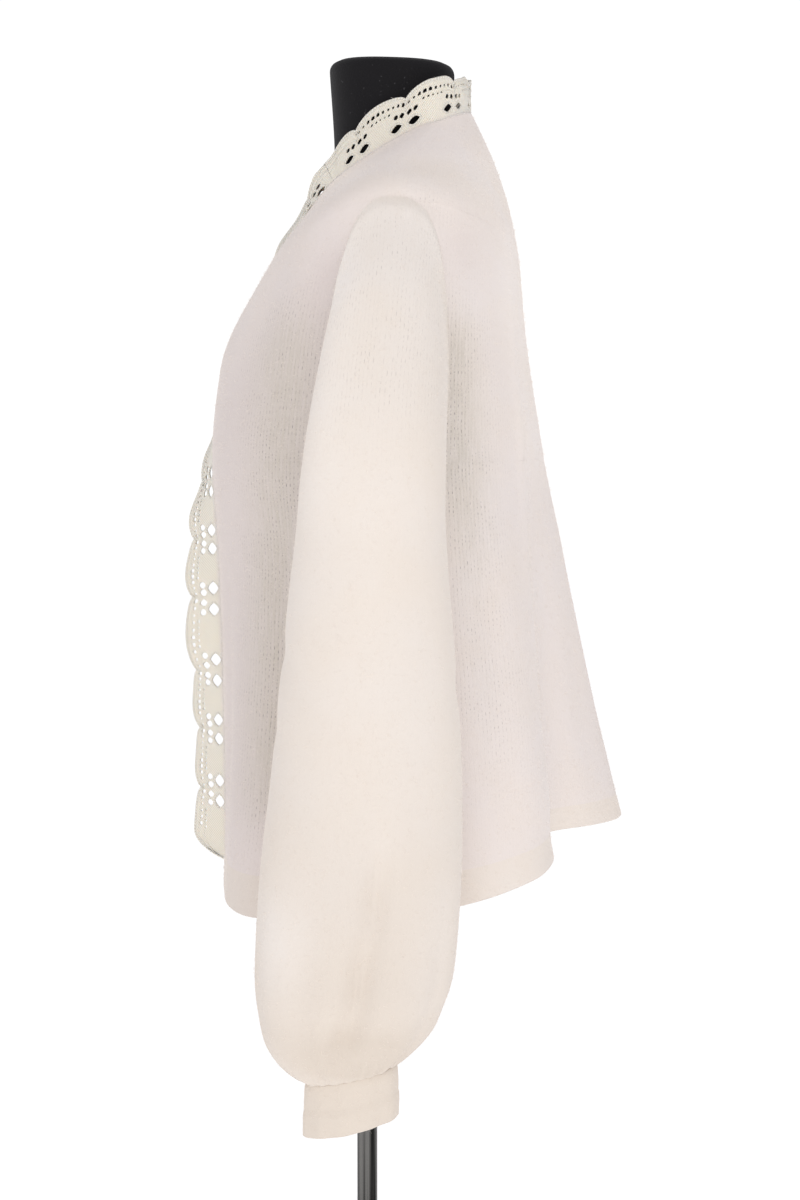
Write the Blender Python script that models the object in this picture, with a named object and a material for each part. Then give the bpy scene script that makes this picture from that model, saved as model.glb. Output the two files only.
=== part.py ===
"""A knitted cardigan with crocheted edging, on a limbless dress form with a pole and a base.

Metres, +Z up. The origin is on the floor, on the pole's axis. The garment faces -Y and the wearer's
left is +X. The body cloth is one surface, body(angle, level): the angle goes round from 0 at the
centre front over 90 at the wearer's left to 180 at the centre back, and the level counts the rows of
the BODY table from the hem to the neckline. Every panel is a stretch of that surface with a wall.
"""

import math

import bmesh
import bpy
import numpy as np
from mathutils import Vector
from mathutils.geometry import delaunay_2d_cdt

# Cloth and seams
WALL = 0.0022
BAND_WALL = 0.0028
SEAM = 0.0003
HEM_BAND = 0.024

# Grids: columns of a front, columns of the back, points round half an armhole, rings down a sleeve
FRONT_COLUMNS = 9
BACK_COLUMNS = 22
HALF_ARMHOLE = 12
BRIDGE_RINGS = 7
SLEEVE_RINGS = 11
FORM_COLUMNS = 28

# Armhole, as levels of the BODY table and as degrees to the front and to the back of the side
UNDERARM_LEVEL = 4.0
SHOULDER_LEVEL = 6.0
NECK_LEVEL = 8.0
ARMHOLE_FRONT = 17.5
ARMHOLE_BACK = 24.0
ARMHOLE_SQUARE = 2.5

# Front opening: half its width, from the neckline to the hem
OPENING_TOP = 0.0355
OPENING_HEM = 0.0385

# Crocheted edging
LACE_HEIGHT = 0.034
LACE_NOTCH = 0.74
LACE_WALL = 0.0016
LACE_REPEAT = 0.0445
LACE_STEPS = 7
CORNER_TURN = 0.045
CORNER_TRIM = 0.012
COLLAR_LEAN = 0.10
LACE_SEAM = 0.0007

# Dress form and stand
REST_GAP = 0.0010
NECK_MIDDLE_Y = 0.020
POLE_RADIUS = 0.008
BASE_RADIUS = 0.150
BASE_HEIGHT = 0.010
BASE_EDGE = 0.003
SOCKET_RADIUS = 0.019
SOCKET_HEIGHT = 0.016
ROUND_STEPS = 32


def table(columns, rows):
    """Named columns of a short table, as arrays."""
    return dict(zip(columns.split(), np.array(rows, float).T))


# Outer face of the body cloth, a row for each ring from the hem to the neckline.
BODY = table("front_y front_z side_x side_y side_z back_y back_z bend", [
    (-0.108, 0.360, 0.2040, 0.028, 0.360, 0.1960, 0.360, 2.0),
    (-0.109, 0.430, 0.2005, 0.026, 0.430, 0.1835, 0.435, 2.0),
    (-0.111, 0.510, 0.1960, 0.022, 0.510, 0.1670, 0.515, 2.0),
    (-0.114, 0.590, 0.1910, 0.017, 0.590, 0.1500, 0.592, 2.0),
    (-0.118, 0.665, 0.1860, 0.014, 0.665, 0.1360, 0.665, 2.0),
    (-0.112, 0.735, 0.1830, 0.015, 0.750, 0.1240, 0.748, 2.0),
    (-0.083, 0.795, 0.1720, 0.020, 0.853, 0.1150, 0.830, 2.0),
    (-0.056, 0.836, 0.1200, 0.025, 0.884, 0.0995, 0.888, 1.7),
    (-0.0348, 0.8694, 0.0700, 0.048, 0.9143, 0.0805, 0.9284, 1.2),
])

# Folds of the body cloth: each grows from its start height down to the hem.
FOLDS = table("angle half_width depth start_z", [
    (153.0, 15.0, -0.052, 0.690),
    (186.0, 17.0, 0.007, 0.640),
    (214.0, 14.0, -0.034, 0.640),
    (238.0, 12.0, 0.004, 0.600),
    (131.0, 11.0, 0.002, 0.600),
    (96.0, 13.0, -0.004, 0.640),
    (264.0, 13.0, -0.004, 0.640),
    (62.0, 13.0, -0.010, 0.640),
    (38.0, 17.0, 0.021, 0.620),
    (299.0, 13.0, -0.012, 0.620),
    (322.0, 16.0, 0.016, 0.620),
])

# Rise of the hem above its ring, by angle; it fades out upward.
HEM_LIFT = table("angle lift", [
    (0.0, 0.007), (25.0, -0.008), (45.0, -0.018), (70.0, -0.014), (90.0, -0.008), (110.0, 0.002),
    (125.0, 0.012), (140.0, 0.022), (165.0, 0.028), (190.0, 0.028), (220.0, 0.019), (240.0, 0.007),
    (270.0, -0.007), (315.0, -0.015), (335.0, -0.007), (360.0, 0.007),
])
LIFT_LEVELS = 1.5

# Local swellings of the front: two for the figure, one where the right edge curls forward.
SWELLS = table("angle half_width z half_height depth", [
    (38.0, 20.0, 0.672, 0.055, 0.004),
    (322.0, 20.0, 0.672, 0.055, 0.004),
    (345.0, 12.0, 0.805, 0.055, 0.005),
])

# Level rings of the left sleeve, from under the cap to the cuff; slope is the tilt of the ring.
SLEEVE = table("z y_front y_back x_in x_out slope", [
    (0.6300, -0.0430, 0.0565, 0.1960, 0.2850, 0.00),
    (0.5900, -0.0480, 0.0590, 0.1990, 0.2900, 0.00),
    (0.5120, -0.0560, 0.0655, 0.2040, 0.2980, 0.00),
    (0.4575, -0.0610, 0.0680, 0.2070, 0.3040, 0.00),
    (0.4090, -0.0670, 0.0680, 0.2095, 0.3090, 0.00),
    (0.3600, -0.0710, 0.0655, 0.2120, 0.3130, 0.00),
    (0.3240, -0.0725, 0.0620, 0.2145, 0.3130, 0.02),
    (0.3030, -0.0700, 0.0555, 0.2175, 0.3105, 0.05),
    (0.2850, -0.0630, 0.0475, 0.2220, 0.3045, 0.09),
    (0.2700, -0.0485, 0.0340, 0.2320, 0.2945, 0.15),
    (0.2590, -0.0385, 0.0245, 0.2395, 0.2865, 0.21),
])

# Left cuff, from its top to its bottom.
CUFF = table("z y_front y_back x_in x_out slope", [
    (0.2587, -0.0385, 0.0245, 0.2395, 0.2865, 0.21),
    (0.2430, -0.0390, 0.0250, 0.2390, 0.2870, 0.24),
    (0.2270, -0.0385, 0.0245, 0.2395, 0.2865, 0.27),
])

# How far the dress form stays inside the cloth's inner face, at levels of the BODY table.
EASE = table("level front side back", [
    (0.62, 0.030, 0.052, 0.080),
    (1.00, 0.029, 0.046, 0.072),
    (2.00, 0.038, 0.066, 0.070),
    (3.00, 0.020, 0.046, 0.042),
    (4.00, 0.0060, 0.022, 0.018),
    (5.00, 0.0060, 0.014, 0.008),
    (5.60, 0.0055, 0.008, 0.003),
    (6.00, 0.0050, 0.003, REST_GAP),
    (6.50, 0.0045, REST_GAP, REST_GAP),
    (7.00, 0.0045, REST_GAP, REST_GAP),
    (7.30, 0.0045, REST_GAP, REST_GAP),
])

# Neck of the dress form, above the shoulders: tilted rings up to the rounded top.
NECK = table("front_y front_z side_x back_y back_z", [
    (-0.0285, 0.867, 0.0590, 0.0690, 0.914),
    (-0.0270, 0.900, 0.0545, 0.0670, 0.932),
    (-0.0275, 0.9600, 0.0530, 0.0675, 0.9570),
    (-0.0258, 0.9648, 0.0510, 0.0658, 0.9622),
    (-0.0210, 0.9675, 0.0455, 0.0610, 0.9650),
])

# Left edging of the front: how far it is turned forward out of the cloth, by height, in degrees.
LACE_LEFT = table("z turn", [
    (0.360, 52.0), (0.397, 50.0), (0.438, 46.0), (0.492, 48.0), (0.537, 57.0), (0.587, 47.0),
    (0.625, 32.0), (0.666, 11.0), (0.700, -1.0), (0.740, -4.0), (0.900, -4.0),
])
LACE_RIGHT = table("z turn", [(0.360, -2.0), (0.560, -2.0), (0.700, -3.0), (0.900, -4.0)])

# Cut-outs of one repeat of the edging: place along it, height, half sizes, corners.
EYELETS = table("along height half_along half_height corners", [
    (0.17, 0.245, 0.0044, 0.0040, 5),
    (0.83, 0.245, 0.0044, 0.0040, 5),
    (0.25, 0.62, 0.0023, 0.0024, 4),
    (0.50, 0.76, 0.0024, 0.0024, 4),
    (0.75, 0.62, 0.0023, 0.0024, 4),
])


def smooth(xs, ys, at):
    """Cubic through the points (xs, ys) that keeps their rises and falls, read at the places given."""
    at = np.asarray(at, float)
    step = np.diff(xs)
    rise = np.diff(ys) / step
    slope = np.zeros(len(xs))
    same = rise[1:] * rise[:-1] > 0.0
    total = np.where(same, rise[1:] + rise[:-1], 1.0)
    slope[1:-1] = np.where(same, 2.0 * rise[1:] * rise[:-1] / total, 0.0)
    slope[0] = rise[0]
    slope[-1] = rise[-1]
    low = np.clip(np.searchsorted(xs, at) - 1, 0, len(step) - 1)
    t = np.clip((at - xs[low]) / step[low], 0.0, 1.0)
    return (ys[low] * (1.0 + 2.0 * t) * (1.0 - t) ** 2 + step[low] * slope[low] * t * (1.0 - t) ** 2
            + ys[low + 1] * t * t * (3.0 - 2.0 * t) + step[low] * slope[low + 1] * t * t * (t - 1.0))


def unit(vectors):
    """The vectors at length one."""
    return vectors / np.maximum(np.linalg.norm(vectors, axis=-1, keepdims=True), 1e-12)


def ring(angle, front_y, front_z, side_x, side_y, side_z, back_y, back_z, bend=2.0):
    """Points of an oval ring through a front, a side and a back point, at angles in degrees.

    A bend of 1 keeps the ring flat between those points, 2 rounds it off at the side.
    """
    turn = np.radians(angle)
    cosine = np.cos(turn)
    ahead = cosine > 0.0
    y = side_y - np.where(ahead, side_y - front_y, back_y - side_y) * cosine
    z = side_z + np.where(ahead, front_z - side_z, back_z - side_z) * np.abs(cosine) ** bend
    return np.stack([side_x * np.sin(turn), y, z], axis=-1)


def apart(angle, centre):
    """Difference of two angles in degrees, the short way round."""
    return (angle - centre + 180.0) % 360.0 - 180.0


def plain_body(angle, level):
    """The rings of the BODY table alone, with no fold, swelling or hem lift."""
    angle, level = np.broadcast_arrays(np.asarray(angle, float), np.asarray(level, float))
    rows = np.arange(len(BODY["side_x"]), dtype=float)
    return ring(angle, **{name: smooth(rows, values, level) for name, values in BODY.items()})


def body(angle, level):
    """Outer face of the body cloth at angles in degrees and levels of the BODY table."""
    angle, level = np.broadcast_arrays(np.asarray(angle, float), np.asarray(level, float))
    points = plain_body(angle, level)
    fade = np.clip(1.0 - level / LIFT_LEVELS, 0.0, 1.0) ** 1.5
    points[..., 2] += fade * smooth(HEM_LIFT["angle"], HEM_LIFT["lift"], angle % 360.0)
    z = points[..., 2]
    push = np.zeros_like(z)
    for centre, half, depth, start in zip(*FOLDS.values()):
        grown = np.clip((start - z) / (start - BODY["side_z"][0]), 0.0, 1.1) ** 1.2
        push += depth * grown * np.exp(-(apart(angle, centre) / half) ** 2)
    for centre, half, middle, height, depth in zip(*SWELLS.values()):
        push += depth * np.exp(-(apart(angle, centre) / half) ** 2 - ((z - middle) / height) ** 2)
    turn = np.radians(angle)
    return points + push[..., None] * np.stack([np.sin(turn), -np.cos(turn), 0.0 * z], axis=-1)


def body_normal(angle, level, surface=body):
    """Outward normals of the body cloth, or of another surface of angles and levels."""
    reach = np.clip(np.asarray(level, float), 0.02, NECK_LEVEL - 0.02)
    around = surface(np.asarray(angle) + 0.4, level) - surface(np.asarray(angle) - 0.4, level)
    upward = surface(angle, reach + 0.02) - surface(angle, reach - 0.02)
    return unit(np.cross(around, upward))


def opening_angle(level):
    """Angle of a front edge from the centre front, at levels of the BODY table."""
    rows = np.arange(len(BODY["side_x"]), dtype=float)
    half = OPENING_HEM + (OPENING_TOP - OPENING_HEM) * np.asarray(level, float) / NECK_LEVEL
    return np.degrees(np.arcsin(half / smooth(rows, BODY["side_x"], level)))


def armhole_reach(level, widest):
    """Degrees between the side and the armhole's edge: an oval between underarm and shoulder."""
    middle = 0.5 * (UNDERARM_LEVEL + SHOULDER_LEVEL)
    half = 0.5 * (SHOULDER_LEVEL - UNDERARM_LEVEL)
    away = np.abs((np.asarray(level, float) - middle) / half)
    return widest * np.clip(1.0 - away ** ARMHOLE_SQUARE, 0.0, 1.0) ** (1.0 / ARMHOLE_SQUARE)


def squared(values):
    """A sine or cosine reshaped so that the oval it draws is squarer than an ellipse."""
    return np.sign(values) * np.abs(values) ** (2.0 / ARMHOLE_SQUARE)


def band_level():
    """Level at which the hem bands end and the panels begin."""
    return HEM_BAND / (BODY["side_z"][1] - BODY["side_z"][0])


def panel_levels():
    """Rows of a panel: even up to the underarm, as the armhole's points, then up to the neckline."""
    steps = np.arange(HALF_ARMHOLE + 1) / HALF_ARMHOLE
    middle = 0.5 * (UNDERARM_LEVEL + SHOULDER_LEVEL)
    half = 0.5 * (SHOULDER_LEVEL - UNDERARM_LEVEL)
    return np.concatenate([
        np.linspace(band_level(), UNDERARM_LEVEL, 9)[:-1],
        middle - half * squared(np.cos(math.pi * steps)),
        np.linspace(SHOULDER_LEVEL, NECK_LEVEL, 6)[1:],
    ])


def grid_faces(rows, columns, closed=False):
    """Four-sided faces of a grid of points; a closed one joins its last column to its first."""
    faces = []
    for row in range(rows - 1):
        for column in range(columns if closed else columns - 1):
            following = (column + 1) % columns
            faces.append((row * columns + column, row * columns + following,
                          (row + 1) * columns + following, (row + 1) * columns + column))
    return faces


def link(name, points, faces, material):
    """A mesh object of the points and faces, with its normals made to point outward."""
    mesh = bpy.data.meshes.new(name)
    mesh.from_pydata([tuple(map(float, point)) for point in points], [], faces)
    shape = bmesh.new()
    shape.from_mesh(mesh)
    bmesh.ops.recalc_face_normals(shape, faces=shape.faces)
    if shape.calc_volume(signed=True) < 0.0:
        bmesh.ops.reverse_faces(shape, faces=shape.faces)
    shape.to_mesh(mesh)
    shape.free()
    mesh.materials.append(material)
    part = bpy.data.objects.new(name, mesh)
    bpy.context.scene.collection.objects.link(part)
    return part


def walled(name, outer, inner, faces, material):
    """A closed wall between an outer and an inner sheet of the same faces, with rims on open edges."""
    count = len(outer)
    used = set()
    for face in faces:
        used.update(zip(face, face[1:] + face[:1]))
    rims = [(second, first, first + count, second + count)
            for first, second in sorted(used) if (second, first) not in used]
    inside = [tuple(point + count for point in reversed(face)) for face in faces]
    return link(name, np.concatenate([outer, inner]), faces + inside + rims, material)


def trimmed(points, edges, gap):
    """A grid of points with the named edge rows or columns drawn in by a gap."""
    points = points.copy()
    for edge in edges:
        last, following = {"bottom": (np.s_[0], np.s_[1]), "top": (np.s_[-1], np.s_[-2]),
                           "first": (np.s_[:, 0], np.s_[:, 1]), "last": (np.s_[:, -1], np.s_[:, -2])}[edge]
        points[last] += unit(points[following] - points[last]) * gap
    return points


def cloth_panel(name, angles, levels, edges, thickness, raised, material):
    """A stretch of the body cloth as a wall, from a grid of angles and a column of levels."""
    level = np.broadcast_to(levels[:, None], angles.shape)
    normal = body_normal(angles, level)
    outer = trimmed(body(angles, level) + raised * normal, edges, 0.5 * SEAM)
    inner = outer - thickness * normal
    faces = grid_faces(*angles.shape)
    return walled(name, outer.reshape(-1, 3), inner.reshape(-1, 3), faces, material)


def spread(first, last, columns):
    """A grid of angles between a first and a last angle in each row."""
    share = np.linspace(0.0, 1.0, columns + 1)
    return first[:, None] * (1.0 - share) + last[:, None] * share


def build_body(material):
    """Two fronts, the back and their hem bands."""
    bands = np.array([0.0, 0.5 * band_level(), band_level()])
    for levels, suffix, wall, raised, edges in (
            (panel_levels(), "", WALL, 0.0, ("bottom",)),
            (bands, "_hem", BAND_WALL, 0.0003, ("top",))):
        front = 90.0 - armhole_reach(levels, ARMHOLE_FRONT)
        rear = 90.0 + armhole_reach(levels, ARMHOLE_BACK)
        edge = opening_angle(levels)
        cloth_panel("left_front" + suffix, spread(edge, front, FRONT_COLUMNS), levels,
                    edges + ("last",), wall, raised, material)
        cloth_panel("right_front" + suffix, spread(-front, -edge, FRONT_COLUMNS), levels,
                    edges + ("first",), wall, raised, material)
        cloth_panel("back" + suffix, spread(rear, 360.0 - rear, BACK_COLUMNS), levels,
                    edges + ("first", "last"), wall, raised, material)


def oval_ring(row, count):
    """A tilted level ring of a sleeve or a cuff, from its outermost point over the front."""
    turn = 2.0 * math.pi * np.arange(count) / count
    middle_y = 0.5 * (row["y_front"] + row["y_back"])
    y = -0.5 * (row["y_back"] - row["y_front"]) * np.sin(turn)
    x = 0.5 * (row["x_in"] + row["x_out"]) + 0.5 * (row["x_out"] - row["x_in"]) * np.cos(turn)
    return np.stack([x, middle_y + y, row["z"] + row["slope"] * y], axis=-1)


def table_rings(rows, at, count):
    """Rings of a table at places counted in its rows."""
    index = np.arange(len(rows["z"]), dtype=float)
    read = {name: smooth(index, values, at) for name, values in rows.items()}
    return np.stack([oval_ring({name: values[i] for name, values in read.items()}, count)
                     for i in range(len(at))])


def armhole_loop(count):
    """The armhole's edge on the body cloth, from the shoulder over the front, and the way into it."""
    turn = 2.0 * math.pi * np.arange(count) / count
    middle = 0.5 * (UNDERARM_LEVEL + SHOULDER_LEVEL)
    half = 0.5 * (SHOULDER_LEVEL - UNDERARM_LEVEL)
    level = middle + half * squared(np.cos(turn))
    widest = np.where(np.sin(turn) > 0.0, ARMHOLE_FRONT, ARMHOLE_BACK)
    angle = 90.0 - widest * squared(np.sin(turn))
    loop = body(angle, level)
    along = np.roll(loop, -1, axis=0) - np.roll(loop, 1, axis=0)
    inward = unit(np.cross(along, body_normal(angle, level)))
    centre = loop.mean(axis=0)
    facing = np.sign(np.sum(inward * (centre - loop), axis=-1, keepdims=True))
    return loop, inward * facing


def tube_normals(rings):
    """Outward normals of a grid of rings that goes down from ring to ring."""
    around = np.roll(rings, -1, axis=1) - np.roll(rings, 1, axis=1)
    down = np.gradient(rings, axis=0)
    normal = unit(np.cross(around, down))
    outward = np.sum(normal * (rings - rings.mean(axis=1, keepdims=True))) < 0.0
    return -normal if outward else normal


def sleeve_rings(count):
    """Rings of the left sleeve: a bridge from the armhole to the first level ring, then the table."""
    loop, inward = armhole_loop(count)
    start = loop + 0.5 * SEAM * inward
    hanging = table_rings(SLEEVE, np.linspace(0.0, len(SLEEVE["z"]) - 1.0, SLEEVE_RINGS), count)
    reach = np.linalg.norm(hanging[0] - start, axis=-1, keepdims=True)
    leave = reach * np.array([1.0, 0.0, 0.0])
    arrive = reach * np.array([0.0, 0.0, -1.0])
    bridge = []
    for t in np.linspace(0.0, 1.0, BRIDGE_RINGS + 1)[:-1]:
        bridge.append(start * (1.0 + 2.0 * t) * (1.0 - t) ** 2 + leave * t * (1.0 - t) ** 2
                      + hanging[0] * t * t * (3.0 - 2.0 * t) + arrive * t * t * (t - 1.0))
    return np.concatenate([np.stack(bridge), hanging])


def build_tube(name, rings, thickness, mirrored, material):
    """A tube of rings as a wall, open at both ends, or its mirror image on the other side."""
    inner = rings - thickness * tube_normals(rings)
    side = np.array([-1.0 if mirrored else 1.0, 1.0, 1.0])
    faces = grid_faces(rings.shape[0], rings.shape[1], closed=True)
    return walled(name, (rings * side).reshape(-1, 3), (inner * side).reshape(-1, 3), faces, material)


def build_sleeves(material):
    """Both sleeves and both cuffs."""
    count = 2 * HALF_ARMHOLE
    sleeve = sleeve_rings(count)
    cuff = table_rings(CUFF, np.arange(len(CUFF["z"]), dtype=float), count)
    for side in ("left", "right"):
        build_tube(side + "_sleeve", sleeve, WALL, side == "right", material)
        build_tube(side + "_cuff", cuff, BAND_WALL, side == "right", material)


def build_form(material):
    """Torso and neck of the dress form, one closed body."""
    levels = np.array([0.62, 1.0, 1.5, 2.0, 2.5, 3.0, 3.5, 4.0, 4.4, 4.8, 5.2, 5.6, 6.0, 6.4, 6.8, 7.05, 7.3])
    angles = np.arange(FORM_COLUMNS) * 360.0 / FORM_COLUMNS
    rings = []
    for level in levels:
        cosine = np.cos(np.radians(angles))
        ahead = smooth(EASE["level"], EASE["front"], level)
        behind = smooth(EASE["level"], EASE["back"], level)
        beside = smooth(EASE["level"], EASE["side"], level)
        ease = beside + np.where(cosine > 0.0, ahead - beside, behind - beside) * cosine ** 2
        inward = (WALL + ease)[:, None] * body_normal(angles, level, plain_body)
        rings.append(plain_body(angles, level) - inward)
    for front_y, front_z, side_x, back_y, back_z in zip(*NECK.values()):
        middle = 0.5 * (front_z + back_z)
        rings.append(ring(angles, front_y, front_z, side_x, NECK_MIDDLE_Y, middle, back_y, back_z, 1.0))
    rings = np.stack(rings)
    rings[0, :, 2] = rings[0, :, 2].mean()
    points = rings.reshape(-1, 3)
    count = len(points)
    under = np.append(points[:FORM_COLUMNS, :2].mean(axis=0), points[0, 2])
    top = points[-FORM_COLUMNS:].mean(axis=0) + np.array([0.0, 0.0, 0.001])
    faces = grid_faces(len(rings), FORM_COLUMNS, closed=True)
    for column in range(FORM_COLUMNS):
        following = (column + 1) % FORM_COLUMNS
        faces.append((following, column, count))
        faces.append((count - FORM_COLUMNS + column, count - FORM_COLUMNS + following, count + 1))
    link("dress_form", np.concatenate([points, [under, top]]), faces, material)
    return float(under[2])


def turned(name, profile, material):
    """A solid of revolution about the Z axis, from (radius, height) points that start and end on it."""
    shape = bmesh.new()
    places = [shape.verts.new(Vector((radius, 0.0, height))) for radius, height in profile]
    edges = [shape.edges.new(pair) for pair in zip(places, places[1:])]
    bmesh.ops.spin(shape, geom=places + edges, cent=(0.0, 0.0, 0.0), axis=(0.0, 0.0, 1.0),
                   angle=2.0 * math.pi, steps=ROUND_STEPS, use_duplicate=False)
    bmesh.ops.remove_doubles(shape, verts=shape.verts, dist=1e-6)
    mesh = bpy.data.meshes.new(name)
    bmesh.ops.recalc_face_normals(shape, faces=shape.faces)
    shape.to_mesh(mesh)
    shape.free()
    mesh.materials.append(material)
    part = bpy.data.objects.new(name, mesh)
    bpy.context.scene.collection.objects.link(part)
    return part


def build_stand(form_bottom, material):
    """The pole between the base's socket and the form, and the round base."""
    foot = BASE_HEIGHT + SOCKET_HEIGHT + SEAM
    head = form_bottom - SEAM
    turned("stand_pole", [(0.0, foot), (POLE_RADIUS, foot), (POLE_RADIUS, head), (0.0, head)], material)
    turned("stand_base", [
        (0.0, 0.0), (BASE_RADIUS, 0.0), (BASE_RADIUS, BASE_HEIGHT - BASE_EDGE),
        (BASE_RADIUS - BASE_EDGE, BASE_HEIGHT), (SOCKET_RADIUS, BASE_HEIGHT),
        (SOCKET_RADIUS, BASE_HEIGHT + SOCKET_HEIGHT), (0.0, BASE_HEIGHT + SOCKET_HEIGHT)], material)


def inside(point, corners):
    """Whether a flat point lies within a ring of corners."""
    x, y = point
    within = False
    for (x0, y0), (x1, y1) in zip(corners, np.roll(corners, -1, axis=0)):
        if (y0 > y) != (y1 > y) and x < x0 + (x1 - x0) * (y - y0) / (y1 - y0):
            within = not within
    return within


def lace_pattern(length, repeats):
    """Flat edging of some repeats: its points (along, up) and its triangles."""
    pitch = length / repeats
    along = np.linspace(0.0, length, repeats * LACE_STEPS + 1)
    swing = np.sqrt(np.clip(1.0 - (2.0 * (along / pitch % 1.0) - 1.0) ** 2, 0.0, 1.0))
    crest = LACE_HEIGHT * (LACE_NOTCH + (1.0 - LACE_NOTCH) * swing)
    outline = np.concatenate([np.stack([along, 0.0 * along], axis=-1),
                              np.stack([along, crest], axis=-1)[::-1]])
    holes = []
    for repeat in range(repeats):
        for place, height, half_along, half_height, corners in zip(*EYELETS.values()):
            turn = 2.0 * math.pi * np.arange(int(corners)) / corners + 0.5 * math.pi
            holes.append(np.stack([(repeat + place) * pitch + half_along * np.cos(turn),
                                   height * LACE_HEIGHT + half_height * np.sin(turn)], axis=-1))
    points = np.concatenate([outline] + holes)
    edges = []
    start = 0
    for loop in [outline] + holes:
        edges += [(start + i, start + (i + 1) % len(loop)) for i in range(len(loop))]
        start += len(loop)
    placed, _, triangles, *_ = delaunay_2d_cdt([Vector(point) for point in points], edges, [], 0, 1e-7)
    placed = np.array([tuple(point) for point in placed])
    kept = []
    for triangle in triangles:
        middle = placed[list(triangle)].mean(axis=0)
        near = [hole for hole in holes if abs(hole[:, 0].mean() - middle[0]) < pitch]
        if inside(middle, outline) and not any(inside(middle, hole) for hole in near):
            kept.append(tuple(triangle))
    return placed, kept


def build_lace(name, base, upward, repeats, material):
    """Edging along a path of base points, standing in the directions given at those points."""
    steps = np.linalg.norm(np.diff(base, axis=0), axis=-1)
    travelled = np.concatenate([[0.0], np.cumsum(steps)])
    flat, triangles = lace_pattern(travelled[-1], repeats)

    def read(values):
        """Values along the path, at each point of the flat edging."""
        return np.stack([np.interp(flat[:, 0], travelled, values[:, i]) for i in range(3)], axis=-1)

    along = unit(np.gradient(base, axis=0))
    up = unit(read(upward))
    across = unit(read(np.cross(along, upward)))
    middle = read(base) + flat[:, 1:] * up
    return walled(name, middle + 0.5 * LACE_WALL * across, middle - 0.5 * LACE_WALL * across,
                  triangles, material)


def edge_path(angles, levels, leaving, standing, thickness):
    """Root of an edging: the middle of the cloth's rim, set off by a seam and by the edging's wall."""
    rim = body(angles, levels) - 0.5 * thickness * body_normal(angles, levels)
    slant = np.sqrt(np.clip(1.0 - np.sum(leaving * standing, axis=-1, keepdims=True) ** 2, 0.0, 1.0))
    return rim + leaving * (LACE_SEAM + 0.5 * LACE_WALL * slant)


def build_edging(material):
    """Collar in two halves and one strip down each front edge."""
    fine = 240
    for side, sign, turns in (("left", 1.0, LACE_LEFT), ("right", -1.0, LACE_RIGHT)):
        corner = float(opening_angle(NECK_LEVEL))
        angles = np.linspace(180.0, corner, fine)
        if sign < 0.0:
            angles = 360.0 - angles
        levels = np.full(fine, NECK_LEVEL)
        path = body(angles, levels)
        leaving = unit(body(angles, levels) - body(angles, levels - 0.05))
        outward = body_normal(angles, levels)
        travelled = np.concatenate([[0.0], np.cumsum(np.linalg.norm(np.diff(path, axis=0), axis=-1))])
        share = np.clip((travelled - travelled[-1] + CORNER_TURN) / CORNER_TURN, 0.0, 1.0) ** 1.5
        onward = unit(np.gradient(path, axis=0) * np.array([1.0, 1.0, 0.0]))
        rise = unit(np.array([0.0, 0.0, 1.0]) + COLLAR_LEAN * leaving)
        standing = unit(rise * (1.0 - 0.45 * share[:, None]) + 0.55 * share[:, None] * onward
                        + 0.15 * share[:, None] * outward)
        root = edge_path(angles, levels, leaving, standing, WALL)
        root = trimmed(root[None], ("first",), 0.5 * SEAM)[0]
        kept = fine - int(fine * CORNER_TRIM)
        root = root[:kept]
        standing = standing[:kept]
        repeats = max(1, round(travelled[-1] / LACE_REPEAT))
        build_lace(side + "_collar_lace", root, standing, repeats, material)

        levels = np.linspace(NECK_LEVEL, 0.0, fine)
        angles = sign * opening_angle(levels)
        path = body(angles, levels)
        inner = body(angles - sign * 0.5, levels)
        leaving = unit(inner - path)
        outward = body_normal(angles, levels)
        turn = np.radians(smooth(turns["z"], turns["turn"], path[:, 2]))[:, None]
        standing = leaving * np.cos(turn) + outward * np.sin(turn)
        travelled = np.concatenate([[0.0], np.cumsum(np.linalg.norm(np.diff(path, axis=0), axis=-1))])
        share = np.clip(1.0 - travelled / CORNER_TURN, 0.0, 1.0)[:, None] ** 1.5
        standing = unit(standing + share * np.array([0.0, 0.0, 0.75]) + 0.10 * share * outward)
        root = edge_path(angles, levels, leaving, standing, WALL)
        first = int(np.searchsorted(travelled, 0.004))
        repeats = max(1, round(travelled[-1] / LACE_REPEAT))
        build_lace(side + "_front_lace", root[first:], standing[first:], repeats, material)


def make_material(name, colour, metallic, roughness):
    """A plain material."""
    material = bpy.data.materials.new(name)
    material.use_nodes = True
    shader = material.node_tree.nodes["Principled BSDF"]
    shader.inputs["Base Color"].default_value = (*colour, 1.0)
    shader.inputs["Metallic"].default_value = metallic
    shader.inputs["Roughness"].default_value = roughness
    return material


def main():
    """Clears the scene and builds the part."""
    for leftover in list(bpy.data.objects):
        bpy.data.objects.remove(leftover, do_unlink=True)
    knit = make_material("ivory_knit", (0.82, 0.76, 0.70), 0.0, 0.9)
    lace = make_material("cream_crochet", (0.80, 0.75, 0.65), 0.0, 0.9)
    jersey = make_material("black_jersey", (0.012, 0.012, 0.014), 0.0, 0.8)
    steel = make_material("steel", (0.55, 0.55, 0.56), 1.0, 0.3)
    build_body(knit)
    build_sleeves(knit)
    build_edging(lace)
    build_stand(build_form(jersey), steel)


main()
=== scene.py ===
"""Looks of a knitted cardigan with crocheted edging, on a limbless dress form with a pole and a base.

Metres, +Z up. The garment faces -Y and the wearer's left is +X. The body cloth is one surface of an
angle and a level: the angle goes round from 0 at the centre front over 90 at the wearer's left to 180
at the centre back, and the level counts the rings of BodyCloth from the hem to the neckline.
"""

import logging
import math
from collections.abc import Callable
from dataclasses import dataclass, field
from enum import Enum
from functools import partial

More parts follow.
